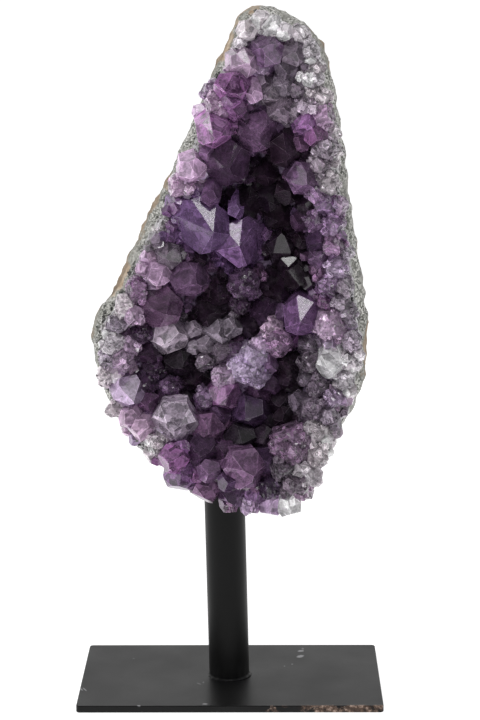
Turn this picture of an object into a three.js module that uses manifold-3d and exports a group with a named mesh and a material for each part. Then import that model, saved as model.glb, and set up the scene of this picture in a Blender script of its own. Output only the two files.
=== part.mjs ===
// An amethyst specimen on a metal stand: a broken piece of geode wall, with a druse of
// quartz crystals on its front, held up by a steel post on a rectangular plate.
// Millimetres, +Z up. The origin is the middle of the plate's underside, and the
// crystals face -Y.

import * as THREE from "three";
import { ConvexGeometry } from "three/addons/geometries/ConvexGeometry.js";
import { mergeVertices } from "three/addons/utils/BufferGeometryUtils.js";
import Module from "manifold-3d";

const wasm = await Module();
wasm.setup();

// Stand
const PLATE = { width: 127, depth: 76.2, thick: 3, corner: 1.2, bevel: 0.4 };
const POST = { radius: 8.55, top: 106, footX: -0.7, leanDeg: 1.15, sides: 28 };
const WELD = { leg: 1.5, rise: 1.6 };
const GAP = 0.3; // between neighbouring pieces
const MERGE = { crystals: 0.4, fitted: 0.12 }; // shorter edges are taken up by their neighbours

// Stone
const EYE = [14.8, -889.7, 325.3]; // where the outline and the crystals were read from
const READ_Y = -14; // depth of the plane in which the crystals' x and z were read
const SPINE = [
  [2, 128],
  [19, 246],
]; // x, z: the stone's rings close in on this line
const RIM = { skinY: 9, bandY: 3.5, bandIn: 2.2, crestY: -6, crestIn: 6.5 };
const BOWL = { deep: 9, over: 26 };
const HOLLOW = { x: 19, z: 192, wide: 17, tall: 32, deep: 7 };
const DOME = { bulge: 20, over: 40 };
const FOOT = { below: 128, fade: 24, front: -10.5, back: 5.5 }; // thicker stone round the post
const CRUST = { thick: 5, inset: 4.4, footInset: 1.5, root: 2 };

// The stone's outline in the XZ plane, clockwise from the top as seen from the front
const OUTLINE = [
  [13, 286.9], [20.5, 284.5], [28.4, 280.6], [35.2, 276.2], [39.6, 269.8], [41.4, 261.3],
  [43.9, 252], [45.2, 242], [46.9, 232], [48.1, 222], [49.8, 212], [50.8, 202.5],
  [52.1, 192.6], [54.2, 182.6], [55.7, 171], [57.6, 160], [58.2, 148], [57.6, 136.5],
  [55.3, 126], [50.6, 116.6], [44.7, 107], [40.8, 98], [36.5, 91], [30.5, 86],
  [21, 84], [11, 84.5], [0, 85.5], [-10, 86.5], [-19, 89], [-27.5, 94],
  [-35.3, 101], [-43, 108.5], [-49.2, 116.5], [-52.8, 126], [-56, 137], [-58.4, 150],
  [-55.6, 158.5], [-48.4, 168], [-44.4, 177.8], [-39, 188], [-34.4, 199], [-28.2, 209.5],
  [-22, 221.5], [-17.4, 232.3], [-13, 243], [-8.2, 254], [-3.9, 264], [0.4, 272.5],
  [3, 280.4], [7.6, 284.4],
];

// Crystals read from the front: x, z of the body's middle, half its width, the tip's
// offset from that middle in x and z, how far the body stands out of the crust and, for
// the largest, the turn in degrees that brings its bright faces round.
const CRYSTALS = [
  // top of the specimen
  [8, 277, 4.2, -0.5, 0.5, 2], [13.5, 281, 4.2, 0, 1, 1], [18.5, 279, 4.4, 1, 1, 1.5],
  [16, 269, 7, -1.5, 1.5, 5], [7.2, 264.8, 6, 2, -0.5, 4, 30], [2, 254.5, 6.6, -2, -1.5, 4],
  [1.5, 249.5, 4, 1, -1, 4], [3.5, 246, 4.4, 1, -2, 3], [-5, 248, 4.2, -1, 0, 2],
  [27, 268, 5.6, 1, 1, 2], [24, 262, 5.2, 0, -1, 1.5], [23.5, 256, 6.4, 0.5, 0, 1.5],
  [18, 253, 5.8, -1, -2, 3], [28.5, 254, 4.2, 1, 1, 1.5], [22.5, 246.5, 6.6, 0, 1.5, 3],
  [32.5, 247, 4.6, 1.5, 0, 2], [33, 270, 4.2, 1.5, 1, 1], [29, 275, 4.6, 1, 1.5, 1],
  [38.5, 243, 4.8, 1.5, 0.5, 1.5], [32, 240.5, 5, 0.5, 0, 2.5], [35.5, 235.5, 4.6, 0.5, -1, 2.5],
  // upper left edge
  [-5.5, 237, 7, 1, -2, 4.5], [-14, 221.5, 5.8, 1, -2.5, 3], [-19.5, 215.5, 4.8, -1.5, -1, 2.5],
  // the large pair and their neighbours
  [-10.9, 200, 10.3, 6, -3.1, 4, 18], [5.4, 193.2, 10.2, -0.8, -0.9, 5.5, 18], [5, 208, 8.5, 1, 1, 3],
  [0, 225, 10, 1.5, -1.5, 4.5], [12, 237, 8.6, 1.5, -1, 4.5], [24, 229.5, 7.4, 1, -2, 3.5],
  [15, 221, 6.5, 0, 0, 0.5], [16, 211, 7, -1, 1, 0.5], [22, 203, 7, 1, -1, 0.5],
  [24.5, 213, 6, 1, 1, 1.5], [31, 218, 7.2, 1.5, -1, 4], [37.5, 223.5, 4, 1.5, 1, 2],
  // right side
  [41, 215.5, 4.4, 1.5, 0, 1.5], [36.5, 212, 4.2, 0.5, -1, 2.5], [32, 207, 4.2, -0.5, 1.5, 2],
  [39.5, 207.5, 4.4, 1, -0.5, 2], [45, 207, 4, 1.5, 0, 1], [29.5, 201, 4.4, -1, -0.5, 2.5],
  [36, 200.5, 4.8, 1, 0.5, 2.5], [43, 199.5, 4.8, 1.5, 0, 1.5], [39.5, 230.5, 5, 1.5, 0, 1.5],
  [24, 187.5, 7, 1.5, 6, 2.5, 60], [36.5, 193, 5, 1, 0, 3], [42.5, 191.5, 5.4, 1.5, 0.5, 2],
  [37.5, 186, 5.4, -1, 1, 3], [44.5, 181.5, 5.4, 1.5, 0.5, 2], [41, 174.5, 5, 1, -1, 2.5],
  [24.5, 182, 4.8, 0, 1.5, 2], [28.5, 177.5, 6, 0.5, -2.5, 3], [20.5, 172, 7.4, 1, 0, 1],
  [30, 162.8, 8.2, -0.9, -1.9, 5, 102], [42.5, 157, 6.8, 1.5, -2, 3.5], [22.5, 163, 4.6, 0.5, 0, 2.5],
  [49, 163, 4, 1.5, 0, 0.5],
  // middle
  [6.5, 175, 6.8, 0, -1, 5], [15, 163.5, 7, -1, 1.5, 2.5], [4.5, 167, 4.2, 0.5, -2, 3],
  [-3, 171, 6.6, 0, -1, 0.5], [-8, 163, 6.4, 0, 1, 0.5], [8, 158, 6, 0, 1, 1],
  [18, 157.5, 4.6, 0.5, 1, 5], [20.5, 150.5, 6, 1.5, -0.5, 6.5], [13.5, 149.5, 4.8, 0, 0.5, 5],
  [9, 140, 8.6, 1, -2, 9], [15.5, 142, 4.6, 1.5, 0.5, 6], [3, 146.5, 4.8, -1, 1, 4.5],
  [-2, 136.5, 5.2, -1, 1.5, 6], [-1.5, 128, 6.8, 0.5, -2.5, 7], [-10, 127, 4.8, -1, -1, 5],
  [17.5, 133.5, 4.2, 1, -1.5, 4],
  // left side
  [-28.5, 179, 6, 0.6, -4.5, 1.5], [-24, 187, 5.4, -1, 0, 3], [-16, 177.5, 8.2, 4, -1, 5],
  [-27.5, 166, 9.2, 1, -1, 5], [-37, 172, 4.6, -1, 0.5, 2.5], [-42, 167, 4.4, -1.5, 1, 2],
  [-38.5, 162.5, 4.2, 0.5, -1, 3], [-23, 154.5, 7.6, 4, 2, 6], [-4.5, 155, 6, 0.5, 1, 2.5],
  [-3.5, 147, 4.8, 0.5, 0, 4], [1.5, 157, 4.4, 1, 1, 3], [-20, 142.5, 7, 1, -1.5, 2.5],
  [-33.5, 147, 5, 0.5, 0, 1], [-36, 154.5, 4.2, 0, 0.5, 1], [-31.5, 139.5, 5.4, 0, 0, 1],
  [-43, 143.5, 4.8, -0.5, -1.5, 3], [-46.5, 151, 4.4, -1.5, 0.5, 1.5],
  [-40.5, 129.5, 6.6, 2.5, -3, 3, 60], [-33, 125, 5.6, 0, 0.5, 3], [-28, 127, 4.2, 0.5, 0, 3],
  [-25, 132, 4.8, 0, 1, 2.5], [-33.5, 133.5, 4.4, 0, 0.5, 2], [-22.5, 117, 9, 0, -1, 8],
  [-41, 119, 4.4, -1.5, -1, 2], [-36, 114.5, 4.6, -1, -1, 2.5], [-14, 134.5, 5.6, 0, 0, 1.5],
  [-17.5, 126, 4.6, 0, 0, 2], [-9, 114.5, 7.4, 1, 0, 4.5], [-4, 120.5, 4.8, 1, 1, 4],
  // lower right
  [25, 142, 6, 0.5, 1.5, 2], [24, 135.5, 5, 0, -1.5, 1.5], [33.5, 143, 5, 0.5, 0, 3],
  [33, 150, 4.6, 0, 0.5, 2], [37, 131.5, 4.8, 0.5, 0, 2], [42.5, 141.5, 6.6, 0.5, -2, 3],
  [47.5, 134.5, 4, 1.5, -1, 1.5], [49.5, 144, 4.4, 1.5, 0, 1], [50, 151.5, 4, 1.5, 0.5, 0.5],
  [42.5, 127, 4.4, 1, -0.5, 2], [35, 121.5, 6, 1, 0, 3], [41.5, 119.5, 4, 1.5, -1, 1.5],
  [29, 126, 4.8, 0, 0.5, 1.5], [21, 125.5, 5.6, 0, 0, 1.5], [22.5, 118.5, 5.4, 0, 1, 2],
  [8.5, 121, 8.2, -2.5, -1, 4], [16.5, 117, 4, 0, 0, 2.5], [12.5, 129.5, 5.4, 0, 1, 3],
  [26, 107, 9, 0.5, 0, 7], [35, 111.5, 4.4, 1.5, 0.5, 2.5], [36, 103, 4.4, 1.5, -1, 2.5],
  [4.5, 110, 7, 0, 0, 2], [13.5, 110, 6, 0, 0, 2], [-11.5, 104.5, 7.4, 0, 0.5, 2.5],
  [-1, 104.5, 5, -1, 1.5, 3],
  // bottom edge
  [6.5, 97.5, 8.4, 3.5, -1, 7], [15, 101, 5.6, 1, 0.5, 4], [22, 97.5, 5, 0, 0, 5],
  [25, 90.5, 5.4, 0.5, -1, 5], [33.2, 95, 4.6, 1, -1, 3], [30.5, 88.5, 4.6, 1.5, -2, 3],
  [24.5, 82, 5, 1, -2, 3], [17, 82, 4.6, 0, -2, 3], [8, 82.5, 4.4, 0.5, -2, 3],
  [-0.5, 83.5, 4, -0.5, -2, 3], [-23.5, 102, 6.2, -1.5, -0.5, 6],
  [-20, 94, 7, -0.5, -2.5, 7], [-9, 88.5, 6.6, 2, -4.5, 6], [2, 86, 6, 0.5, -3, 6],
  [11, 87, 5.6, 0.5, -2.5, 5], [-8.5, 97, 5.2, 0, 0, 4], [17, 89.5, 4.8, 0, -1, 4],
  [-0.5, 93, 4.8, 0, 0, 4],
];

// Habit of a quartz crystal: a six-sided prism under two unlike rhombohedra
const FACE_TILT = THREE.MathUtils.degToRad(51.8); // of a tip face's normal from the axis
const SIDES = 6;
const UNLIKE = 0.14; // how much further in three of the tip faces lie, by half-width
const SIMPLE = 5.3; // a crystal with a smaller half-width has only the other three
const WOBBLE = 0.16;
const STEEPEST = 0.85; // the sine of the most that a crystal leans
const FIRST_SEED = 4;

const smooth = (t) => {
  const c = Math.min(Math.max(t, 0), 1);
  return c * c * (3 - 2 * c);
};

// A repeatable number from 0 to 1 for each seed
const chance = (seed) => {
  const s = Math.sin(seed * 12.9898 + 4.1414) * 43758.5453;
  return s - Math.floor(s);
};

const lumps = (x, z, size) =>
  Math.sin(x / size + 1.3) * Math.cos(z / (size * 1.27) + 0.7) +
  0.5 * Math.sin((x + 1.7 * z) / (size * 0.61));

function distanceToOutline(x, z) {
  let least = Infinity;
  OUTLINE.forEach(([ax, az], i) => {
    const [bx, bz] = OUTLINE[(i + 1) % OUTLINE.length];
    const along = ((x - ax) * (bx - ax) + (z - az) * (bz - az)) / ((bx - ax) ** 2 + (bz - az) ** 2);
    const t = Math.min(Math.max(along, 0), 1);
    least = Math.min(least, Math.hypot(x - ax - t * (bx - ax), z - az - t * (bz - az)));
  });
  return least;
}

const footShare = (z) => smooth((FOOT.below - z) / FOOT.fade);

// Depth of the rock's front, under the crystals
function faceY(x, z) {
  const d = distanceToOutline(x, z);
  const rise = smooth((d - RIM.bandIn) / (RIM.crestIn - RIM.bandIn));
  const band = THREE.MathUtils.lerp(RIM.bandY, RIM.crestY, rise);
  const bowl = BOWL.deep * smooth((d - RIM.crestIn) / BOWL.over);
  const hollow =
    HOLLOW.deep * Math.exp(-(((x - HOLLOW.x) / HOLLOW.wide) ** 2) - ((z - HOLLOW.z) / HOLLOW.tall) ** 2);
  return band + bowl + hollow + FOOT.front * footShare(z) + 0.7 * lumps(x, z, 9);
}

function backY(x, z) {
  const inward = Math.min(distanceToOutline(x, z) / DOME.over, 1);
  const dome = DOME.bulge * Math.sqrt(1 - (1 - inward) ** 2);
  return RIM.skinY + dome + FOOT.back * footShare(z) + 1.4 * lumps(x, z, 13) * Math.min(inward * 3, 1);
}

// The point of the spine that an outline point closes in on
function spinePoint([x, z]) {
  const [[ax, az], [bx, bz]] = SPINE;
  const t = ((x - ax) * (bx - ax) + (z - az) * (bz - az)) / ((bx - ax) ** 2 + (bz - az) ** 2);
  const c = Math.min(Math.max(t, 0), 1);
  return [ax + c * (bx - ax), az + c * (bz - az)];
}

// A ring of the outline moved inwards: by a length in mm, then by a share of what is left
function ring(inset, share, outline = OUTLINE) {
  return outline.map((p) => {
    const s = spinePoint(p);
    const length = Math.hypot(s[0] - p[0], s[1] - p[1]);
    const mm = typeof inset === "function" ? inset(p) : inset;
    const t = (mm + share * (length - mm)) / length;
    return [p[0] + t * (s[0] - p[0]), p[1] + t * (s[1] - p[1])];
  });
}

// A closed solid through rings of points, the first and last drawn to a middle point
function skin(rings, first, last) {
  const count = rings[0].length;
  const positions = [...first, ...last, ...rings.flat(2)];
  const at = (r, i) => 2 + r * count + (i % count);
  const triangles = [];
  for (let i = 0; i < count; i++) {
    triangles.push([0, at(0, i), at(0, i + 1)]);
    triangles.push([1, at(rings.length - 1, i + 1), at(rings.length - 1, i)]);
    for (let r = 0; r + 1 < rings.length; r++) {
      triangles.push([at(r, i), at(r + 1, i), at(r, i + 1)]);
      triangles.push([at(r + 1, i), at(r + 1, i + 1), at(r, i + 1)]);
    }
  }
  return new wasm.Manifold(
    new wasm.Mesh({
      numProp: 3,
      vertProperties: new Float32Array(positions),
      triVerts: new Uint32Array(triangles.flat()),
    }),
  );
}

const middle = [(SPINE[0][0] + SPINE[1][0]) / 2, (SPINE[0][1] + SPINE[1][1]) / 2];

// The rock, grown all round by a clearance
function rockSolid(grow) {
  const back = (x, z) => [x, backY(x, z) + grow, z];
  const front = (x, z) => [x, faceY(x, z) - grow, z];
  const backRings = [0.72, 0.4, 0.14].map((share) => ring(0, share).map((p) => back(...p)));
  const skinRing = ring(-grow, 0).map(([x, z], i) => [
    x,
    RIM.skinY + FOOT.back * footShare(z) + grow + 1.5 * (chance(i + 0.5) - 0.5),
    z,
  ]);
  const bandRing = ring(RIM.bandIn - grow, 0).map(([x, z], i) => [
    x,
    RIM.bandY + FOOT.front * footShare(z) - grow + 1.5 * (chance(i + 77) - 0.5),
    z,
  ]);
  const frontRings = [
    [RIM.crestIn, 0],
    [RIM.crestIn + 9, 0],
    [RIM.crestIn + 9, 0.35],
    [RIM.crestIn + 9, 0.75],
  ].map(([inset, share]) => ring(inset, share).map((p) => front(...p)));
  return skin([...backRings, skinRing, bandRing, ...frontRings], back(...middle), front(...middle));
}

// The layer of quartz that the crystals grow from, reaching back into the rock
function crustSolid() {
  const inset = ([, z]) => THREE.MathUtils.lerp(CRUST.inset, CRUST.footInset, footShare(z));
  const midway = OUTLINE.map(([x, z], i) => {
    const [nextX, nextZ] = OUTLINE[(i + 1) % OUTLINE.length];
    return [(x + nextX) / 2, (z + nextZ) / 2];
  });
  const layer = (share, lift) =>
    ring(inset, share, midway).map(([x, z]) => [x, faceY(x, z) - lift, z]);
  const rings = [
    layer(0.5, -2),
    layer(0, -2),
    layer(0, 1.5),
    layer(0.06, CRUST.thick * 0.8),
    layer(0.3, CRUST.thick),
    layer(0.65, CRUST.thick),
  ];
  const [x, z] = middle;
  return skin(rings, [x, faceY(x, z) + 2, z], [x, faceY(x, z) - CRUST.thick, z]);
}

// The corners of the solid inside a set of planes, each a normal and a distance
function cornersOf(planes) {
  const corners = [];
  const slack = 1e-6;
  for (let i = 0; i < planes.length; i++)
    for (let j = i + 1; j < planes.length; j++)
      for (let k = j + 1; k < planes.length; k++) {
        const [a, b, c] = [planes[i], planes[j], planes[k]];
        const bc = b.normal.clone().cross(c.normal);
        const det = a.normal.dot(bc);
        if (Math.abs(det) < slack) continue;
        const p = bc.multiplyScalar(a.reach);
        p.add(c.normal.clone().cross(a.normal).multiplyScalar(b.reach));
        p.add(a.normal.clone().cross(b.normal).multiplyScalar(c.reach));
        p.divideScalar(det);
        if (planes.every((q) => q.normal.dot(p) <= q.reach + slack)) corners.push(p);
      }
  return corners;
}

// One crystal as a geometry: its middle is seen at x, z, and its tip points at the offset
function crystal([x, z, width, tipX, tipZ, rise, turn], seed) {
  const point = width * 1.27;
  const lean = new THREE.Vector3(tipX / point, 0, tipZ / point);
  lean.clampLength(0, STEEPEST);
  const axis = new THREE.Vector3(lean.x, -Math.sqrt(1 - lean.lengthSq()), lean.z);
  const y = faceY(x, z) - CRUST.thick - rise;
  const sight = (y - READ_Y) / (READ_Y - EYE[1]);
  const centre = new THREE.Vector3(x + (x - EYE[0]) * sight, y, z + (z - EYE[2]) * sight);
  const side = new THREE.Vector3(1, 0, 0).cross(axis).normalize();
  side.applyAxisAngle(axis, turn === undefined ? chance(seed) * Math.PI : THREE.MathUtils.degToRad(turn));
  const planes = [];
  for (let k = 0; k < SIDES; k++) {
    const normal = side.clone().applyAxisAngle(axis, (k * 2 * Math.PI) / SIDES);
    const reach = width * (0.93 + WOBBLE * (chance(seed + k * 3.1) - 0.5));
    planes.push({ normal, reach: normal.dot(centre) + reach });
    const tip = normal.clone().multiplyScalar(Math.sin(FACE_TILT));
    tip.addScaledVector(axis, Math.cos(FACE_TILT));
    const back = width * UNLIKE * (k % 2 ? 0.2 + chance(seed + k * 5.3) : -0.4);
    if (k % 2 && width < SIMPLE) continue;
    planes.push({ normal: tip, reach: tip.dot(centre) + Math.cos(FACE_TILT) * point - back });
  }
  planes.push({ normal: new THREE.Vector3(0, 1, 0), reach: faceY(x, z) - CRUST.root });
  return new ConvexGeometry(cornersOf(planes));
}

function toSolid(geometry) {
  const bare = geometry.clone();
  bare.deleteAttribute("normal");
  bare.deleteAttribute("uv");
  const merged = mergeVertices(bare, 1e-4);
  return new wasm.Manifold(
    new wasm.Mesh({
      numProp: 3,
      vertProperties: merged.attributes.position.array,
      triVerts: new Uint32Array(merged.index.array),
    }),
  );
}

function toGeometry(solid) {
  const mesh = solid.getMesh();
  const geometry = new THREE.BufferGeometry();
  geometry.setAttribute("position", new THREE.BufferAttribute(mesh.vertProperties, 3));
  geometry.setIndex(new THREE.BufferAttribute(mesh.triVerts, 1));
  geometry.computeVertexNormals();
  return geometry;
}

const tidied = (solid, length) => solid.asOriginal().simplify(length);
const largest = (solid) => solid.decompose().reduce((a, b) => (a.volume() > b.volume() ? a : b));

function named(name, geometry, material) {
  const mesh = new THREE.Mesh(geometry, material);
  mesh.name = name;
  return mesh;
}

function plate() {
  const { width, depth, thick, corner, bevel } = PLATE;
  const [w, d, r] = [width / 2 - bevel, depth / 2 - bevel, corner];
  const shape = new THREE.Shape();
  shape.moveTo(-w + r, -d);
  shape.lineTo(w - r, -d);
  shape.absarc(w - r, -d + r, r, -Math.PI / 2, 0);
  shape.absarc(w - r, d - r, r, 0, Math.PI / 2);
  shape.absarc(-w + r, d - r, r, Math.PI / 2, Math.PI);
  shape.absarc(-w + r, -d + r, r, Math.PI, 1.5 * Math.PI);
  const geometry = new THREE.ExtrudeGeometry(shape, {
    depth: thick - 2 * bevel,
    bevelThickness: bevel,
    bevelSize: bevel,
    bevelSegments: 1,
    curveSegments: 3,
  });
  return geometry.translate(0, 0, bevel);
}

// The post with the fillet of weld round its foot, standing on z = 0 of its own frame
function post(grow, length) {
  const r = POST.radius + grow;
  const profile = [
    [0, 0],
    [r + WELD.leg, 0],
    [r + WELD.leg * 0.4, WELD.rise * 0.45],
    [r, WELD.rise],
    [r, length],
    [0, length],
  ].map(([x, y]) => new THREE.Vector2(x, y));
  return new THREE.LatheGeometry(profile, POST.sides).rotateX(Math.PI / 2);
}

function leaning(geometry) {
  return geometry
    .rotateY(-THREE.MathUtils.degToRad(POST.leanDeg))
    .translate(POST.footX, 0, PLATE.thick + 1.6 * GAP);
}

const steel = new THREE.MeshStandardMaterial({ color: 0x1c1c1d, roughness: 0.45, metalness: 0.2 });
const rock = new THREE.MeshStandardMaterial({ color: 0x8d8880, roughness: 0.85 });
const quartz = new THREE.MeshStandardMaterial({ color: 0x5c3f78, roughness: 0.12 });

const postLength = POST.top - PLATE.thick;
const grownRock = rockSolid(GAP);
const socket = toSolid(leaning(post(GAP, postLength + 2 * GAP)));
const crystals = CRYSTALS.map((row, i) => toSolid(crystal(row, i + FIRST_SEED)));
const druse = tidied(wasm.Manifold.union([crustSolid(), ...crystals]), MERGE.crystals);
const crust = largest(tidied(druse.subtract(grownRock).subtract(socket), MERGE.fitted));

const specimen = new THREE.Group();
specimen.add(
  named("base_plate", plate(), steel),
  named("post", leaning(post(0, postLength)), steel),
  named("host_rock", toGeometry(largest(rockSolid(0).subtract(socket))), rock),
  named("amethyst_crystals", toGeometry(crust), quartz),
);

export default specimen;
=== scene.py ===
import itertools
import math

import bpy
import numpy as np
from mathutils import Matrix, Vector, noise


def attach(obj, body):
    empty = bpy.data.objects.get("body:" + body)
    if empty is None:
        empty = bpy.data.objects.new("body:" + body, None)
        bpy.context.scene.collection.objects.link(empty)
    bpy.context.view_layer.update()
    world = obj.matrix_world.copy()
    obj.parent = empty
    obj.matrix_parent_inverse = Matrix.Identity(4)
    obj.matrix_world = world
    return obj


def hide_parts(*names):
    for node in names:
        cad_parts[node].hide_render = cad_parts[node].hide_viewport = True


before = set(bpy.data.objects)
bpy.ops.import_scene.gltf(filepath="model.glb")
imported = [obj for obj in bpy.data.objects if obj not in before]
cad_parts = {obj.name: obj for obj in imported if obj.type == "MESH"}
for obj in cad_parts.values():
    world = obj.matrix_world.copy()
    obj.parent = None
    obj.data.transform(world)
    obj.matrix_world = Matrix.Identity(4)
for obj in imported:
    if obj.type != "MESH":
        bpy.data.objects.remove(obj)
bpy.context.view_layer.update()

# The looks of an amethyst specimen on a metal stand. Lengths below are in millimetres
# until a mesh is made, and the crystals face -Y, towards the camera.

MM = 0.001

# Stand
PLATE = {"width": 127.0, "depth": 76.2, "thick": 3.0, "corner": 1.2, "bevel": 0.4}
POST = {"radius": 8.55, "top": 106.0, "foot_x": -0.7, "lean": math.radians(1.15)}
WELD = {"leg": 0.9, "rise": 1.0}

# Stone. Places in the photograph were read at the depth READ_Y, seen from EYE.
EYE = np.array([14.8, -889.7, 325.3])
READ_Y = -14.0
SPINE = np.array([[2.0, 128.0], [19.0, 246.0]])
RIM = {"skin_y": 9.0, "band_y": 3.5, "band_in": 2.2, "crest_y": -6.0, "crest_in": 6.5}
BOWL = {"deep": 9.0, "over": 26.0}
HOLLOW = {"x": 19.0, "z": 192.0, "wide": 17.0, "tall": 32.0, "deep": 7.0}
DOME = {"bulge": 20.0, "over": 40.0}
FOOT = {"below": 128.0, "fade": 24.0, "front": -10.5, "back": 5.5}
CRUST = {"thick": 5.0, "inset": 4.4, "foot_inset": 1.5, "root": 2.0}
BED = 4.0  # thickness of the massive quartz in front of the rock

# Where the tan rind comes round to the front: x, z and how far it reaches.
RIND = np.array([
    (-41, 184, 24), (-31, 205, 18), (-57, 156, 8), (4, 282, 12), (39, 270, 12),
    (-4, 265, 11), (-32, 102, 14), (58, 144, 16),
], dtype=float)
OUTLINE = np.array([
    (13, 286.9), (20.5, 284.5), (28.4, 280.6), (35.2, 276.2), (39.6, 269.8), (41.4, 261.3),
    (43.9, 252), (45.2, 242), (46.9, 232), (48.1, 222), (49.8, 212), (50.8, 202.5),
    (52.1, 192.6), (54.2, 182.6), (55.7, 171), (57.6, 160), (58.2, 148), (57.6, 136.5),
    (55.3, 126), (50.6, 116.6), (44.7, 107), (40.8, 98), (36.5, 91), (30.5, 86),
    (21, 84), (11, 84.5), (0, 85.5), (-10, 86.5), (-19, 89), (-27.5, 94),
    (-35.3, 101), (-43, 108.5), (-49.2, 116.5), (-52.8, 126), (-56, 137), (-58.4, 150),
    (-55.6, 158.5), (-48.4, 168), (-44.4, 177.8), (-39, 188), (-34.4, 199), (-28.2, 209.5),
    (-22, 221.5), (-17.4, 232.3), (-13, 243), (-8.2, 254), (-3.9, 264), (0.4, 272.5),
    (3, 280.4), (7.6, 284.4),
], dtype=float)


def rows(text):
    """A list of crystals from their text: numbers, a tone and, for some, one more number."""
    found = []
    for row in text.split(";")[:-1]:
        *numbers, tone = row.split()[:7]
        found.append((*map(float, numbers), tone, *map(float, row.split()[7:])))
    return found


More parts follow.
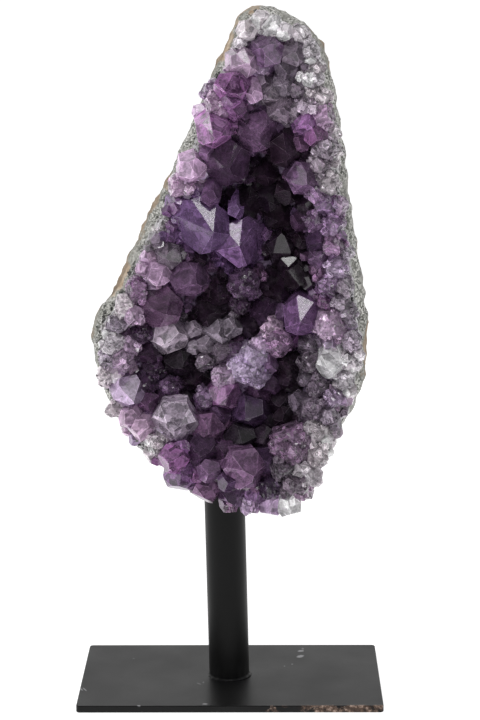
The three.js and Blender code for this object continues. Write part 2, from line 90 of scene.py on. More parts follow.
# Crystals, with a semicolon after each: x, z, half-width, the tip's offset in x and z, the
# rise, the tone and, for some, the turn in degrees. Tones: K nearly black, D deep, V violet,
# P plum, L lavender, A pale lavender, M mauve, S smoky, G grey, W white. A small letter has a
# coat of tiny crystals, and m and w also have tints of their own. The order gives the seeds.
CRYSTALS = rows(
    # top of the specimen
    "8 277 4.2 -.5 .5 2 W; 13.5 281 4.2 0 1 2 W; 18.5 279 4.4 1 1 2.5 W; 16 269 7 -1.5 1.5 5 P;"
    "7.2 264.8 6 2 -.5 4 L 30; 2 254.5 6.6 -2 -1.5 4 M; 1.5 249.5 4 1 -1 4 M;"
    "3.5 246 4.4 1 -2 3 M; -5 248 4.2 -1 0 2 l; 27 268 5.6 1 1 2 S; 24 262 5.2 0 -1 1.5 S;"
    "23.5 256 6.4 .5 0 1.5 G; 18 253 5.8 -1 -2 3 G; 28.5 254 4.2 1 1 1.5 s;"
    "22.5 246.5 6.6 0 1.5 3 S; 32.5 247 4.6 1.5 0 2 g; 33 270 4.2 1.5 1 1 w;"
    "29 275 4.6 1 1.5 1 w; 38.5 243 4.8 1.5 .5 1.5 l; 32 240.5 5 .5 0 2.5 M;"
    "35.5 235.5 4.6 .5 -1 2.5 M;"
    # upper left edge
    "-5.5 237 7 1 -2 4.5 M; -14 221.5 5.8 1 -2.5 3 L; -19.5 215.5 4.8 -1.5 -1 2.5 l;"
    # the large pair and their neighbours
    "-11.5 200.5 11 6 -2.3 4.5 V 18; 5.4 193.2 10.2 -.6 -.6 5.5 V 18; 5 208 8.5 1 1 3 K;"
    "0 225 10 1.5 -1.5 4.5 D; 12 237 8.6 1.5 -1 4.5 P; 24 229.5 7.4 1 -2 3.5 K;"
    "15 221 6.5 0 0 .5 K; 16 211 7 -1 1 .5 K; 22 203 7 1 -1 .5 K; 24.5 213 6 1 1 1.5 K;"
    "31 218 7.2 1.5 -1 4 P; 37.5 223.5 4 1.5 1 2 g;"
    # right side
    "41 215.5 4.4 1.5 0 1.5 w; 36.5 212 4.2 .5 -1 2.5 m; 32 207 4.2 -.5 1.5 2 K;"
    "39.5 207.5 4.4 1 -.5 2 m; 45 207 4 1.5 0 1 l; 29.5 201 4.4 -1 -.5 2.5 D;"
    "36 200.5 4.8 1 .5 2.5 p; 43 199.5 4.8 1.5 0 1.5 m; 39.5 230.5 5 1.5 0 1.5 g;"
    "21.8 192 7 -.5 6 2.5 K 60; 36.5 193 5 1 0 3 D; 42.5 191.5 5.4 1.5 .5 2 m;"
    "37.5 186 5.4 -1 1 3 P; 44.5 181.5 5.4 1.5 .5 2 l; 41 174.5 5 1 -1 2.5 m;"
    "24.5 182 4.8 0 1.5 2 K; 28.5 177.5 6 .5 -2.5 3 K; 20.5 172 7.4 1 0 1 K;"
    "30 162.8 8.2 -.9 -1.9 5 V 102; 42.5 157 6.8 1.5 -2 3.5 l; 22.5 163 4.6 .5 0 2.5 P;"
    "49 163 4 1.5 0 .5 g;"
    # middle
    "6.5 175 6.8 0 -1 5 p; 15 163.5 7 -1 1.5 2.5 D; 4.5 167 4.2 .5 -2 3 d;"
    "-3 171 6.6 0 -1 .5 K; -8 163 6.4 0 1 .5 K; 8 158 6 0 1 1 K; 18 157.5 4.6 .5 1 5 l;"
    "20.5 150.5 6 1.5 -.5 6.5 m; 13.5 149.5 4.8 0 .5 5 l; 9 140 8.6 1 -2 9 l;"
    "15.5 142 4.6 1.5 .5 6 P; 3 146.5 4.8 -1 1 4.5 p; -2 136.5 5.2 -1 1.5 6 l;"
    "-1.5 128 6.8 .5 -2.5 7 M; -10 127 4.8 -1 -1 5 m; 17.5 133.5 4.2 1 -1.5 4 D;"
    # left side
    "-28.5 179 6 .6 -4.5 1.5 L; -24 187 5.4 -1 0 3 S; -16 177.5 8.2 4 -1 5 P;"
    "-27.5 166 9.2 1 -1 5 P; -37 172 4.6 -1 .5 2.5 m; -42 167 4.4 -1.5 1 2 w;"
    "-38.5 162.5 4.2 .5 -1 3 l; -23 154.5 7.6 4 2 6 G; -4.5 155 6 .5 1 2.5 G;"
    "-3.5 147 4.8 .5 0 4 S; 1.5 157 4.4 1 1 3 G; -20 142.5 7 1 -1.5 2.5 K;"
    "-33.5 147 5 .5 0 1 D; -36 154.5 4.2 0 .5 1 d; -31.5 139.5 5.4 0 0 1 d;"
    "-43 143.5 4.8 -.5 -1.5 3 l; -46.5 151 4.4 -1.5 .5 1.5 w; -40.5 129.5 6.6 2.5 -3 3 L 60;"
    "-33 125 5.6 0 .5 3 P; -28 127 4.2 .5 0 3 D; -25 132 4.8 0 1 2.5 p;"
    "-33.5 133.5 4.4 0 .5 2 d; -22.5 117 9 0 -1 8 A; -41 119 4.4 -1.5 -1 2 L;"
    "-36 114.5 4.6 -1 -1 2.5 L; -14 134.5 5.6 0 0 1.5 K; -17.5 126 4.6 0 0 2 K;"
    "-9 114.5 7.4 1 0 4.5 P; -4 120.5 4.8 1 1 4 P;"
    # lower right
    "25 142 6 .5 1.5 2 K; 24 135.5 5 0 -1.5 1.5 K; 33.5 143 5 .5 0 3 s; 33 150 4.6 0 .5 2 s;"
    "37 131.5 4.8 .5 0 2 s; 42.5 141.5 6.6 .5 -2 3 W; 47.5 134.5 4 1.5 -1 1.5 w;"
    "49.5 144 4.4 1.5 0 1 w; 50 151.5 4 1.5 .5 .5 g; 42.5 127 4.4 1 -.5 2 l;"
    "35 121.5 6 1 0 3 s; 41.5 119.5 4 1.5 -1 1.5 g; 29 126 4.8 0 .5 1.5 S;"
    "21 125.5 5.6 0 0 1.5 K; 22.5 118.5 5.4 0 1 2 K; 8.5 121 8.2 -2.5 -1 4 D;"
    "16.5 117 4 0 0 2.5 K; 12.5 129.5 5.4 0 1 3 D; 26 107 9 .5 0 7 m;"
    "35 111.5 4.4 1.5 .5 2.5 w; 36 103 4.4 1.5 -1 2.5 w; 4.5 110 7 0 0 2 K; 13.5 110 6 0 0 2 K;"
    "-11.5 104.5 7.4 0 .5 2.5 D; -1 104.5 5 -1 1.5 3 D;"
    # bottom edge
    "6.5 97.5 8.4 3.5 -1 7 P; 15 101 5.6 1 .5 4 D; 22 97.5 5 0 0 5 s; 25 90.5 5.4 .5 -1 5 s;"
    "33.2 95 4.6 1 -1 3 w; 30.5 88.5 4.6 1.5 -2 3 l; 24.5 82 5 1 -2 3 W; 17 82 4.6 0 -2 3 L;"
    "8 82.5 4.4 .5 -2 3 l; -.5 83.5 4 -.5 -2 3 P; -23.5 102 6.2 -1.5 -.5 6 M;"
    "-20 94 7 -.5 -2.5 7 M; -9 88.5 6.6 2 -4.5 6 P; 2 86 6 .5 -3 6 P; 11 87 5.6 .5 -2.5 5 P;"
    "-8.5 97 5.2 0 0 4 P; 17 89.5 4.8 0 -1 4 d; -.5 93 4.8 0 0 4 D;"
)
SMALL = rows(
    "23 277 3.6 1 0 4.5 W; 5.5 272 3.2 0 1 2 w; 11 252 3.4 .5 -3 6 L; 14 262.5 3 1 1 3 L;"
    "14.5 257 3 1 0 3 S; -7 253 3.6 -1.5 .5 2 l; 33.5 258 3.8 1.5 .5 1.5 w;"
    "33 252.5 3.4 1 0 1.5 w; 38 251 3.6 1.5 0 1 w; 36 263 3.6 1.5 .5 1 w;"
    "29.5 232 3.8 0 -1 2.5 P; 27 245 3.8 .5 -1 2.5 G; -8 228.5 3.4 0 0 2.5 P;"
    "-11 245.5 3.2 -1 0 1.5 L; 42.5 223 3.4 1.5 0 1 w; 42.5 236.5 3.4 1.5 1 1 w;"
    "44 229.5 3 1.5 0 .5 w; 30.5 193 3.8 -.5 .5 2 K; 38 180 3.6 0 -.5 2 p;"
    "48 188 3.4 1.5 0 1 g; 47.5 174 3.8 1.5 0 1 g; 33 175.5 3.4 1 0 2 K;"
    "45.5 168 3.8 1.5 1 1.5 g; 39.5 168 3.6 .5 0 2 p; 12 178.5 3.2 1 .5 4 p;"
    "16 175 3.8 .5 0 2 K; -11.5 186 3.4 0 .5 2 K; -14.5 156.5 3.6 1 1.5 4 G;"
    "-14.5 149 3 1 -.5 3.5 G; -9.5 150 3.8 0 .5 5 G; -10 143 3.8 0 -.5 4 s;"
    "-41 149 3.8 0 0 2.5 l; -46.5 158.5 3.6 -1.5 .5 1 g; -49.5 144 3.8 -1.5 0 1 g;"
    "-50.5 137 3.6 -2 0 1.5 w; -46 123.5 3.6 -2 -.5 1.5 w; 32.5 136 3.6 0 .5 2.5 s;"
    "29.5 97.5 3.4 1 .5 4.5 w; 9.5 81.5 3.4 .5 -1.5 3 l; .5 81.5 3 0 -1.5 3 m;"
    "-19.5 106.5 3.6 .5 1 5 M; -29.5 107.5 3.6 -1 -1 2.5 w;"
    # seen in the photograph beside the large pair
    "-6.9 210.4 4.2 -.4 -2.6 8.5 V; 3.2 205.4 3.6 0 -2.4 10 V;"
)

# One tip face of some crystals: the way it looks, as an azimuth from the front towards +X
# and an elevation, and how far it cuts into the tip as a share of the half-width.
FACES = {
    (7.2, 264.8): (-4, 33, 0.05), (2, 254.5): (-37, 9, 0), (-5.5, 237): (-3, 34, 0.02),
    (24.5, 182): (-5, 36, 0.02), (28.5, 177.5): (10, 40, 0.02), (21.8, 192): (2, -6, 0.03),
    (15, 163.5): (3, -4, 0.02), (8.5, 121): (3, 0, 0.05), (32, 207): (18, -9, 0.02),
    (-23, 154.5): (-36, 18, 0.05), (-14, 221.5): (-36, 12, 0.03),
    (-16, 177.5): (-13, -8, 0), (-27.5, 166): (23, -5, 0), (-23.5, 102): (6, 1, 0),
    (-11, 245.5): (-3, 33, 0.02), (-28.5, 179): (-11, -8, 0), (-40.5, 129.5): (15, 41, 0.03),
    (4.5, 110): (4, 1, 0.03), (0, 225): (41, 9, 0),
}

# Crystals whose hue is held a little towards pink, in place of a hue by chance.
PINKISH = [
    (-28.5, 179), (-5.5, 237), (2, 254.5), (-14, 221.5), (-23.5, 102), (-33, 125), (11, 252),
    (38.5, 243),
]

# The tip faces of the three crystals that flash, in the same terms as FACES.
TIPS = {
    (-11.5, 200.5): [
        (-2, 35, 0), (-25, 19, 0), (-38, -22, 0), (-8, -40, 0), (60, 15, 0), (48, -35, 0),
    ],
    (5.4, 193.2): [
        (-4, 35, 0), (-38, 2, 0), (-25, -42, 0), (25, -38, 0), (45, 22, 0), (65, -8, 0),
    ],
    (30, 162.8): [(-5, 37, 0), (-50, 21, 0), (-25, -40, 0), (30, -45, 0), (45, -3, 0)],
}

# Form of a crystal
FACE_TILT = math.radians(51.8)  # from the axis to a tip face's normal
POINT = 1.27  # how far the tip stands over the crystal's centre, by half-width
UNLIKE = 0.14  # how much the tip faces differ
WOBBLE = 0.16  # how much the sides differ
SIMPLE = 5.3  # crystals narrower than this have three tip faces
STEEPEST = 0.85  # sine of the most that an axis leans
FIRST_SEED = 4
FACETS = 32  # more than the faces of any crystal

# How the crystals that aren't listed are spread, in millimetres, and their first seed
FILL = {"spacing": 3.4, "least": 1.6, "more": 1.6, "deepest": 60.0, "seed": 500}
OFFSHOOTS = {"pale": 5.4, "purple": 6.5}
SUGAR = {"spacing": 0.95, "deepest": 13.0, "least": 0.4, "more": 1.5}

# How much darker facets are painted that look straight to the right or up: painted shade by
# facet direction, for light that leaves quartz on the side away from where it enters.
PAINTED_SHADE_RIGHT, PAINTED_SHADE_TOP = 0.28, 0.22


def smooth(t):
    c = np.clip(t, 0.0, 1.0)
    return c * c * (3.0 - 2.0 * c)


def chance(seed):
    """A repeatable number from 0 to 1 for each seed."""
    s = np.sin(np.asarray(seed, dtype=float) * 12.9898 + 4.1414) * 43758.5453
    return s - np.floor(s)


def lumps(x, z, size):
    wide = np.sin(x / size + 1.3) * np.cos(z / (size * 1.27) + 0.7)
    return wide + 0.5 * np.sin((x + 1.7 * z) / (size * 0.61))


def inset_of(x, z):
    """Least distance in the XZ plane from points to the outline."""
    x, z = np.asarray(x, dtype=float), np.asarray(z, dtype=float)
    least = np.full(x.shape, np.inf)
    for (ax, az), (bx, bz) in zip(OUTLINE, np.roll(OUTLINE, -1, axis=0)):
        along = ((x - ax) * (bx - ax) + (z - az) * (bz - az)) / ((bx - ax) ** 2 + (bz - az) ** 2)
        t = np.clip(along, 0, 1)
        least = np.minimum(least, np.hypot(x - ax - t * (bx - ax), z - az - t * (bz - az)))
    return least


def foot_share(z):
    return smooth((FOOT["below"] - z) / FOOT["fade"])


def face_y(x, z):
    """Depth of the rock's front, under the crystals."""
    d = inset_of(x, z)
    rise = smooth((d - RIM["band_in"]) / (RIM["crest_in"] - RIM["band_in"]))
    band = RIM["band_y"] + (RIM["crest_y"] - RIM["band_y"]) * rise
    bowl = BOWL["deep"] * smooth((d - RIM["crest_in"]) / BOWL["over"])
    away = ((x - HOLLOW["x"]) / HOLLOW["wide"]) ** 2 + ((z - HOLLOW["z"]) / HOLLOW["tall"]) ** 2
    hollow = HOLLOW["deep"] * np.exp(-away)
    return band + bowl + hollow + FOOT["front"] * foot_share(z) + 0.7 * lumps(x, z, 9)


def back_y(x, z):
    inward = np.minimum(inset_of(x, z) / DOME["over"], 1)
    dome = DOME["bulge"] * np.sqrt(1 - (1 - inward) ** 2)
    rough = 1.4 * lumps(x, z, 13) * np.minimum(inward * 3, 1)
    return RIM["skin_y"] + dome + FOOT["back"] * foot_share(z) + rough


def unit(v):
    return v / np.linalg.norm(v, axis=-1, keepdims=True)


def turned(v, axis, angle):
    c, s = math.cos(angle), math.sin(angle)
    return v * c + np.cross(axis, v) * s + axis * np.dot(axis, v) * (1 - c)


def axis_of(width, tip_x, tip_z):
    lean = np.array([tip_x, 0.0, tip_z]) / (width * POINT)
    steep = np.linalg.norm(lean)
    if steep > STEEPEST:
        lean *= STEEPEST / steep
    return np.array([lean[0], -math.sqrt(1 - lean @ lean), lean[2]])


def crystal_planes(row, seed):
    """The planes of one crystal, as in the CAD model: normals and reaches."""
    x, z, width, tip_x, tip_z, rise = row[:6]
    axis = axis_of(width, tip_x, tip_z)
    face = float(face_y(x, z))
    y = face - CRUST["thick"] - rise
    sight = (y - READ_Y) / (READ_Y - EYE[1])
    centre = np.array([x + (x - EYE[0]) * sight, y, z + (z - EYE[2]) * sight])
    angle = math.radians(row[7]) if len(row) > 7 else float(chance(seed)) * math.pi
    side = turned(unit(np.cross([1.0, 0, 0], axis)), axis, angle)
    normals, reaches = [], []
    for k in range(6):
        normal = turned(side, axis, k * math.pi / 3)
        normals.append(normal)
        wobble = WOBBLE * (float(chance(seed + k * 3.1)) - 0.5)
        reaches.append(normal @ centre + width * (0.93 + wobble))
        back = width * UNLIKE * (0.2 + float(chance(seed + k * 5.3)) if k % 2 else -0.4)
        if k % 2 and width < SIMPLE:
            continue
        tip = normal * math.sin(FACE_TILT) + axis * math.cos(FACE_TILT)
        normals.append(tip)
        reaches.append(tip @ centre + math.cos(FACE_TILT) * width * POINT - back)
    normals.append(np.array([0.0, 1.0, 0.0]))
    reaches.append(face - CRUST["root"])
    return np.array(normals), np.array(reaches), centre, axis


TRIPLES = {}


def hull(normals, reaches, centre, size):
    """Corners and outward faces of the convex solid inside a set of planes."""
    count = len(normals)
    if count not in TRIPLES:
        TRIPLES[count] = np.array(list(itertools.combinations(range(count), 3)))
    i, j, k = TRIPLES[count].T
    near = (reaches - normals @ centre) / size
    a, b, c = normals[i], normals[j], normals[k]
    bc = np.cross(b, c)
    det = (a * bc).sum(1)
    ok = np.abs(det) > 1e-6
    i, j, k, a, b, c, bc, det = (v[ok] for v in (i, j, k, a, b, c, bc, det))
    p = bc * near[i, None] + np.cross(c, a) * near[j, None] + np.cross(a, b) * near[k, None]
    p /= det[:, None]
    p = p[(p @ normals.T <= near + 1e-7).all(1)]
    same = np.abs(p[:, None] - p[None]).max(2) < 1e-4
    p = p[~np.triu(same, 1).any(0)]
    faces = []
    for n, reach in zip(normals, near):
        on = np.nonzero(np.abs(p @ n - reach) < 3e-4)[0]
        if len(on) < 3:
            continue
        out = p[on] - p[on].mean(0)
        u = unit(out[0])
        v = np.cross(n, u)
        faces.append(on[np.argsort(np.arctan2(out @ v, out @ u))])
    return p * size + centre, faces


def is_closed(corners, faces):
    """True if every edge joins two faces, one each way."""
    edges = {(int(a), int(b)) for f in faces for a, b in zip(f, np.roll(f, -1))}
    sides = sum(len(f) for f in faces)
    return len(corners) >= 6 and len(edges) == sides and all((b, a) in edges for a, b in edges)


def give(mesh, key, values, domain, kind="FLOAT"):
    """A named attribute of a mesh, with a value for each item of its domain."""
    made = mesh.attributes.new(key, kind, domain)
    field = "color" if kind == "FLOAT_COLOR" else "value"
    number = np.int32 if kind == "INT" else np.float32
    made.data.foreach_set(field, np.asarray(values, dtype=number).ravel())


def new_object(name, corners, faces, attributes=None):
    """A mesh object from corners in millimetres, with float attributes per corner."""
    mesh = bpy.data.meshes.new(name)
    mesh.from_pydata((np.asarray(corners) * MM).tolist(), [], [list(map(int, f)) for f in faces])
    for key, values in (attributes or {}).items():
        give(mesh, key, values, "POINT")
    mesh.update()
    made = bpy.data.objects.new(name, mesh)
    bpy.context.scene.collection.objects.link(made)
    return made


def smooth_shaded(obj):
    obj.data.polygons.foreach_set("use_smooth", [True] * len(obj.data.polygons))
    obj.data.update()
    return obj


def dressed(obj, material, node):
    """A visible piece with its material and the CAD node that it replaces."""
    obj.data.materials.clear()
    obj.data.materials.append(material)
    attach(obj, "root")
    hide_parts(node)
    return obj


# ---- materials ----

WHITE = (1, 1, 1, 1)


class Nodes:
    """A short way to write the node tree of a material or the world."""

    def __init__(self, owner, place="Object"):
        owner.use_nodes = True
        self.owner, self.tree = owner, owner.node_tree
        self.place = self.add("ShaderNodeTexCoord").outputs[place]

    def put(self, value, socket):
        """Another node's output, or else a value, into a socket."""
        if isinstance(value, bpy.types.NodeSocket):
            self.tree.links.new(value, socket)
        else:
            socket.default_value = value

    def add(self, kind, inputs=None, **settings):
        node = self.tree.nodes.new(kind)
        for key, value in settings.items():
            setattr(node, key, value)
        for key, value in (inputs or {}).items():
            self.put(value, node.inputs[key])
        return node

    def feed(self, key, value):
        """A value or an output for one of the shader's sockets."""
        self.put(value, self.tree.nodes["Principled BSDF"].inputs[key])

    def set(self, **values):
        for key, value in values.items():
            self.feed(key.replace("_", " "), value)

    def noise(self, scale, detail=3.0, rough=0.55, distortion=0.0, output="Fac"):
        return self.add("ShaderNodeTexNoise", {
            "Vector": self.place, "Scale": scale, "Detail": detail, "Roughness": rough,
            "Distortion": distortion,
        }).outputs[output]

    def cells(self, scale, feature="F1", output="Distance", place=None):
        inputs = {"Vector": place or self.place, "Scale": scale}
        return self.add("ShaderNodeTexVoronoi", inputs, feature=feature).outputs[output]

    def ramp(self, source, *stops):
        node = self.add("ShaderNodeValToRGB", {"Fac": source})
        line = node.color_ramp
        while len(line.elements) < len(stops):
            line.elements.new(0.5)
        for element, (place, colour) in zip(line.elements, stops):
            element.position = place
            element.color = (*colour, 1)
        return node.outputs["Color"]

    def span(self, source, low, high, to_low=0.0, to_high=1.0):
        return self.add("ShaderNodeMapRange", {
            "Value": source, "From Min": low, "From Max": high, "To Min": to_low,
            "To Max": to_high,
        }).outputs["Result"]

    def mix(self, share, a, b):
        a, b = ((*c, 1) if isinstance(c, tuple) else c for c in (a, b))
        return self.add("ShaderNodeMix", {0: share, 6: a, 7: b}, data_type="RGBA").outputs[2]

    def maths(self, operation, a, b):
        return self.add("ShaderNodeMath", {0: a, 1: b}, operation=operation).outputs[0]

    def plus(self, a, b):
        return self.maths("ADD", a, b)

    def times(self, a, b):
        return self.maths("MULTIPLY", a, b)

    def attribute(self, name, output="Fac"):
        return self.add("ShaderNodeAttribute", attribute_name=name).outputs[output]

    def vector(self, operation, *values):
        inputs = dict(enumerate(values))
        return self.add("ShaderNodeVectorMath", inputs, operation=operation).outputs[0]

    def scaled(self, a, scale):
        inputs = {0: a, "Scale": scale}
        return self.add("ShaderNodeVectorMath", inputs, operation="SCALE").outputs[0]

    def lighter(self, a, scale, more):
        """A colour scaled, with a little more of another added."""
        return self.vector("ADD", self.scaled(a, scale), more)

    def channels(self, colour):
        return self.add("ShaderNodeSeparateColor", {0: colour}).outputs

    def bump(self, height, strength, distance, below=None):
        inputs = {"Strength": strength, "Distance": distance, "Height": height}
        if below is not None:
            inputs["Normal"] = below
        return self.add("ShaderNodeBump", inputs).outputs["Normal"]


def painted_steel(name, lift, ior, marks=None):
    """Satin black paint on steel: fine grain, faint clouds, dusty spots and any marks."""
    n = Nodes(bpy.data.materials.new(name))
    cloud = n.noise(38, 4)
    # lift makes lit and shaded copies of one paint: painted light when higher, painted shade when
    # lower.
    dark, light = 0.0025 * lift, 0.005 * lift
    base = n.ramp(cloud, (0.3, (dark, dark, dark)), (0.7, (light, light, light * 1.06)))
    dust = n.span(n.noise(210, 6, 0.7, 1.5), 0.68, 0.8, 0.0, 0.2)
    colour = n.mix(dust, base, (0.20, 0.19, 0.18))
    n.feed("Base Color", marks(n, colour) if marks else colour)
    n.feed("Roughness", n.span(cloud, 0.3, 0.7, 0.36, 0.46))
    n.feed("Normal", n.bump(n.noise(2600, 2), 0.12, 0.0002))
    n.set(IOR=ior)
    return n.owner


SCUFFS = [  # marks on the plate's top: place, half-sizes, turn and strength
    (31.3, 32.5, 0.6, 1.4, 0, 0.5), (30.4, 29.6, 1.6, 1.3, 15, 1.0),
    (30.1, 22.6, 1.5, 2.2, -35, 1.0), (26.4, 12.5, 0.5, 0.7, 0, 0.5),
    (23.0, 10.0, 0.4, 0.6, 0, 0.5), (-63.0, -18.0, 0.35, 2.6, 25, 0.9),
    (-61.4, -18.4, 0.35, 2.6, 25, 0.8), (-10.2, -35.8, 1.3, 0.8, 0, 0.9),
    (-37.5, -37.6, 0.8, 0.6, 0, 0.9), (-13.4, -11.8, 0.5, 1.6, 40, 0.35),
    (-11.6, -10.2, 0.4, 1.2, 0, 0.35), (-43.0, 20.0, 0.5, 0.6, 0, 0.3),
]


def plate_wear(n, colour):
    """Pale scuffs on the plate's top and paint worn to brown primer along its front edge."""
    ragged = n.noise(1500, 4, 0.7)
    total = None
    for x, y, wide, long, turn, strength in SCUFFS:
        local = n.add("ShaderNodeMapping", {
            "Vector": n.place, "Location": (x * MM, y * MM, PLATE["thick"] * MM),
            "Rotation": (0, 0, math.radians(turn)), "Scale": (wide * MM, long * MM, MM),
        }, vector_type="TEXTURE")
        away = n.add("ShaderNodeVectorMath", {0: local.outputs[0]}, operation="LENGTH")
        mark = n.span(n.plus(away.outputs["Value"], ragged), 1.55, 1.1, 0.0, strength)
        total = mark if total is None else n.maths("MAXIMUM", total, mark)
    colour = n.mix(total, colour, (0.26, 0.26, 0.27))
    x, y, _ = n.add("ShaderNodeSeparateXYZ", {0: n.place}).outputs
    front = n.span(y, -0.0368, -0.0376)
    right = n.span(x, 0.006, 0.050, -0.16, 0.12)
    chips = n.span(n.plus(n.noise(170, 6, 0.7, 0.8), right), 0.50, 0.58)
    rust = n.ramp(
        n.noise(520, 4, 0.7),
        (0.35, (0.030, 0.020, 0.016)), (0.52, (0.10, 0.062, 0.045)), (0.66, (0.42, 0.31, 0.25)),
    )
    return n.mix(n.times(front, chips), colour, rust)


def quartz(name, clear, absorb, density):
    """Quartz: a clear tinted body with cloudy veils and flat patches of painted reflection inside.

    The mesh gives each facet's tint and number, the depth in from its nearest edge, which
    way that edge folds, the place along the crystal, and how sugary and crackled it is.
    """
    n = Nodes(bpy.data.materials.new(name))
    tint = n.attribute("tint", "Color")
    facet, sugar, depth, fold, along, crackle = (
        n.attribute(key) for key in ("facet", "sugar", "depth", "fold", "along", "crackle")
    )
    veil = n.noise(210, 5, 0.62, 1.0)
    # flat patches of painted reflection, in another part of their pattern for each facet
    apart = n.add("ShaderNodeCombineXYZ", {
        i: n.times(facet, far) for i, far in enumerate((0.31, 0.17, 0.23))
    })
    warped = n.vector("ADD", n.place, n.scaled(n.noise(160, 2, 0.5, 0.0, "Color"), 0.004))
    inside = n.vector("ADD", warped, apart.outputs[0])
    patch = n.channels(n.cells(270, "F1", "Color", inside))
    grains = n.cells(820, "F1", "Color")
    # brightness: veils, wisps, patches of painted reflection, fine grain, grain tone with painted
    # sparkle, cracks painted bright, painted highlights on ridges and painted shade in creases
    black = (0.0, 0.0, 0.0)
    wisp = n.ramp(n.noise(150, 6, 0.6, 2.4), (0.5, black), (0.56, (0.5,) * 3), (0.6, black))
    bright = n.plus(n.span(veil, 0.3, 0.7, 0.6, 1.45), wisp)
    patchy = n.plus(n.times(crackle, 0.55), 0.22)
    flat = n.times(n.maths("SUBTRACT", patch[0], 0.5), patchy)
    bright = n.times(bright, n.plus(n.times(flat, 1.9), 1.0))
    bright = n.times(bright, n.span(n.noise(950, 4, 0.65), 0.3, 0.7, 0.76, 1.26))
    # Grains of the sugary ones lighter and darker: grain tone with painted sparkle.
    grain_tone_and_sparkle = n.span(n.maths("POWER", n.channels(grains)[1], 2.0), 0.0, 1.0, -0.45, 1.0)
    bright = n.times(bright, n.plus(n.times(grain_tone_and_sparkle, sugar), 1.0))
    # Cracks painted bright, as light reflected inside them.
    crack = n.span(n.cells(420, "DISTANCE_TO_EDGE", "Distance", inside), 0.0, 0.05, 1.0, 0.0)
    crack = n.times(crack, n.span(patch[1], 0.35, 0.8))
    crack = n.times(crack, n.span(crackle, 0.3, 1.0, 0.0, 1.5))
    # Convex edges painted lighter as a painted highlight, and creases painted darker as painted
    # shade.
    rim = n.times(n.span(depth, 0.0, 0.9, 0.28, 0.0), n.span(fold, -0.5, 0.5))
    bright = n.plus(bright, n.plus(crack, rim))
    crease = n.times(n.span(fold, -0.2, -0.6), n.span(depth, 0.05, 0.5, 1.0, 0.0))
    bright = n.times(bright, n.span(crease, 0.0, 1.0, 1.0, 0.45))
    # colour: patches greyed as painted reflection, milky roots, ridges lighter as wear and
    # painted highlight, and painted glints along hairlines
    grey = n.times(n.span(patch[2], 0.45, 0.95, 0.0, 0.75), n.span(crackle, 0.1, 1.0, 0.15, 1.0))
    shade = n.scaled(n.mix(grey, tint, n.lighter(tint, 0.75, (0.075, 0.070, 0.078))), bright)
    milky = n.times(n.span(along, 0.05, 0.55, 0.35, 0.0), n.span(veil, 0.4, 0.62))
    body = n.mix(milky, shade, n.lighter(shade, 1.4, (0.06, 0.05, 0.06)))
    # Ridges lighter: edge wear with a painted highlight.
    ridge = n.times(n.span(fold, 0.2, 0.6), n.span(depth, 0.04, 0.24, 1.0, 0.0))
    worn = n.times(ridge, n.span(n.noise(520, 3), 0.38, 0.62, 0.1, 0.8))
    body = n.mix(worn, body, n.lighter(shade, 1.4, (0.012, 0.010, 0.012)))
    # Painted glints: bright hairlines on the sugary and crackled ones.
    hair = n.span(n.cells(540, "DISTANCE_TO_EDGE", "Distance", inside), 0.0, 0.10, 1.0, 0.0)
    where = n.span(n.noise(230, 4, 0.6, 1.0), 0.49, 0.60)
    amount = n.span(n.maths("MAXIMUM", sugar, crackle), 0.45, 1.0, 0.0, 0.75)
    painted_glint = n.times(n.times(hair, where), amount)
    n.feed("Base Color", n.mix(painted_glint, body, n.lighter(tint, 1.5, (0.20, 0.17, 0.20))))
    n.feed("Roughness", n.plus(n.span(facet, 0.3, 1.0, 0.05, 0.21), n.times(worn, 0.4)))
    # normal: each grain of the sugary ones tilts, over faint growth lines
    normal = n.add("ShaderNodeNewGeometry").outputs["Normal"]
    tilt = n.scaled(n.vector("SUBTRACT", grains, (0.5, 0.5, 0.5)), n.times(sugar, 1.3))
    broken = n.vector("NORMALIZE", n.vector("ADD", normal, tilt))
    n.feed("Normal", n.bump(n.noise(240, 2, 0.5, 0.4), 0.05, 0.0001, broken))
    n.set(IOR=1.544, Transmission_Weight=clear)
    if density:
        inputs = {"Color": (*absorb, 1), "Density": density}
        volume = n.add("ShaderNodeVolumeAbsorption", inputs).outputs[0]
        n.put(volume, n.tree.nodes["Material Output"].inputs["Volume"])
    return n.owner


def rock_material():
    """Basalt: a grey-green speckled body, a thin patchy tan rind and a brown weathered back."""
    n = Nodes(bpy.data.materials.new("rock_stone"))
    speckle = n.ramp(
        n.channels(n.cells(1450, "F1", "Color"))[0],
        (0.0, (0.025, 0.028, 0.024)), (0.22, (0.10, 0.105, 0.09)), (0.5, (0.30, 0.30, 0.275)),
        (0.8, (0.75, 0.74, 0.71)),
    )
    cloud = n.noise(120, 5, 0.6)
    body = n.mix(n.span(cloud, 0.4, 0.75), speckle, (0.36, 0.355, 0.33))
    rind = n.attribute("rind")
    dull = n.ramp(cloud, (0.35, (0.14, 0.145, 0.125)), (0.65, (0.30, 0.29, 0.25)))
    body = n.mix(n.times(n.span(rind, 0.5, 0.86), 0.6), body, dull)
    tan = n.ramp(
        n.noise(170, 6, 0.65),
        (0.3, (0.20, 0.13, 0.08)), (0.5, (0.47, 0.36, 0.26)), (0.72, (0.66, 0.58, 0.48)),
    )
    earth = n.ramp(
        n.noise(75, 7, 0.7, 0.6),
        (0.32, (0.13, 0.095, 0.065)), (0.5, (0.31, 0.235, 0.165)), (0.68, (0.47, 0.40, 0.32)),
    )
    tan = n.mix(n.span(rind, 0.7, 0.85), tan, earth)
    patches = n.span(n.noise(62, 3, 0.6), 0.40, 0.62, -0.55, 0.35)
    n.feed("Base Color", n.mix(n.span(n.plus(rind, patches), 0.55, 0.85), body, tan))
    n.feed("Roughness", n.span(cloud, 0.3, 0.7, 0.65, 0.95))
    coarse = n.bump(n.noise(330, 8, 0.7), 0.9, 0.0012)
    n.feed("Normal", n.bump(n.cells(1450), 0.5, 0.0005, coarse))
    return n.owner


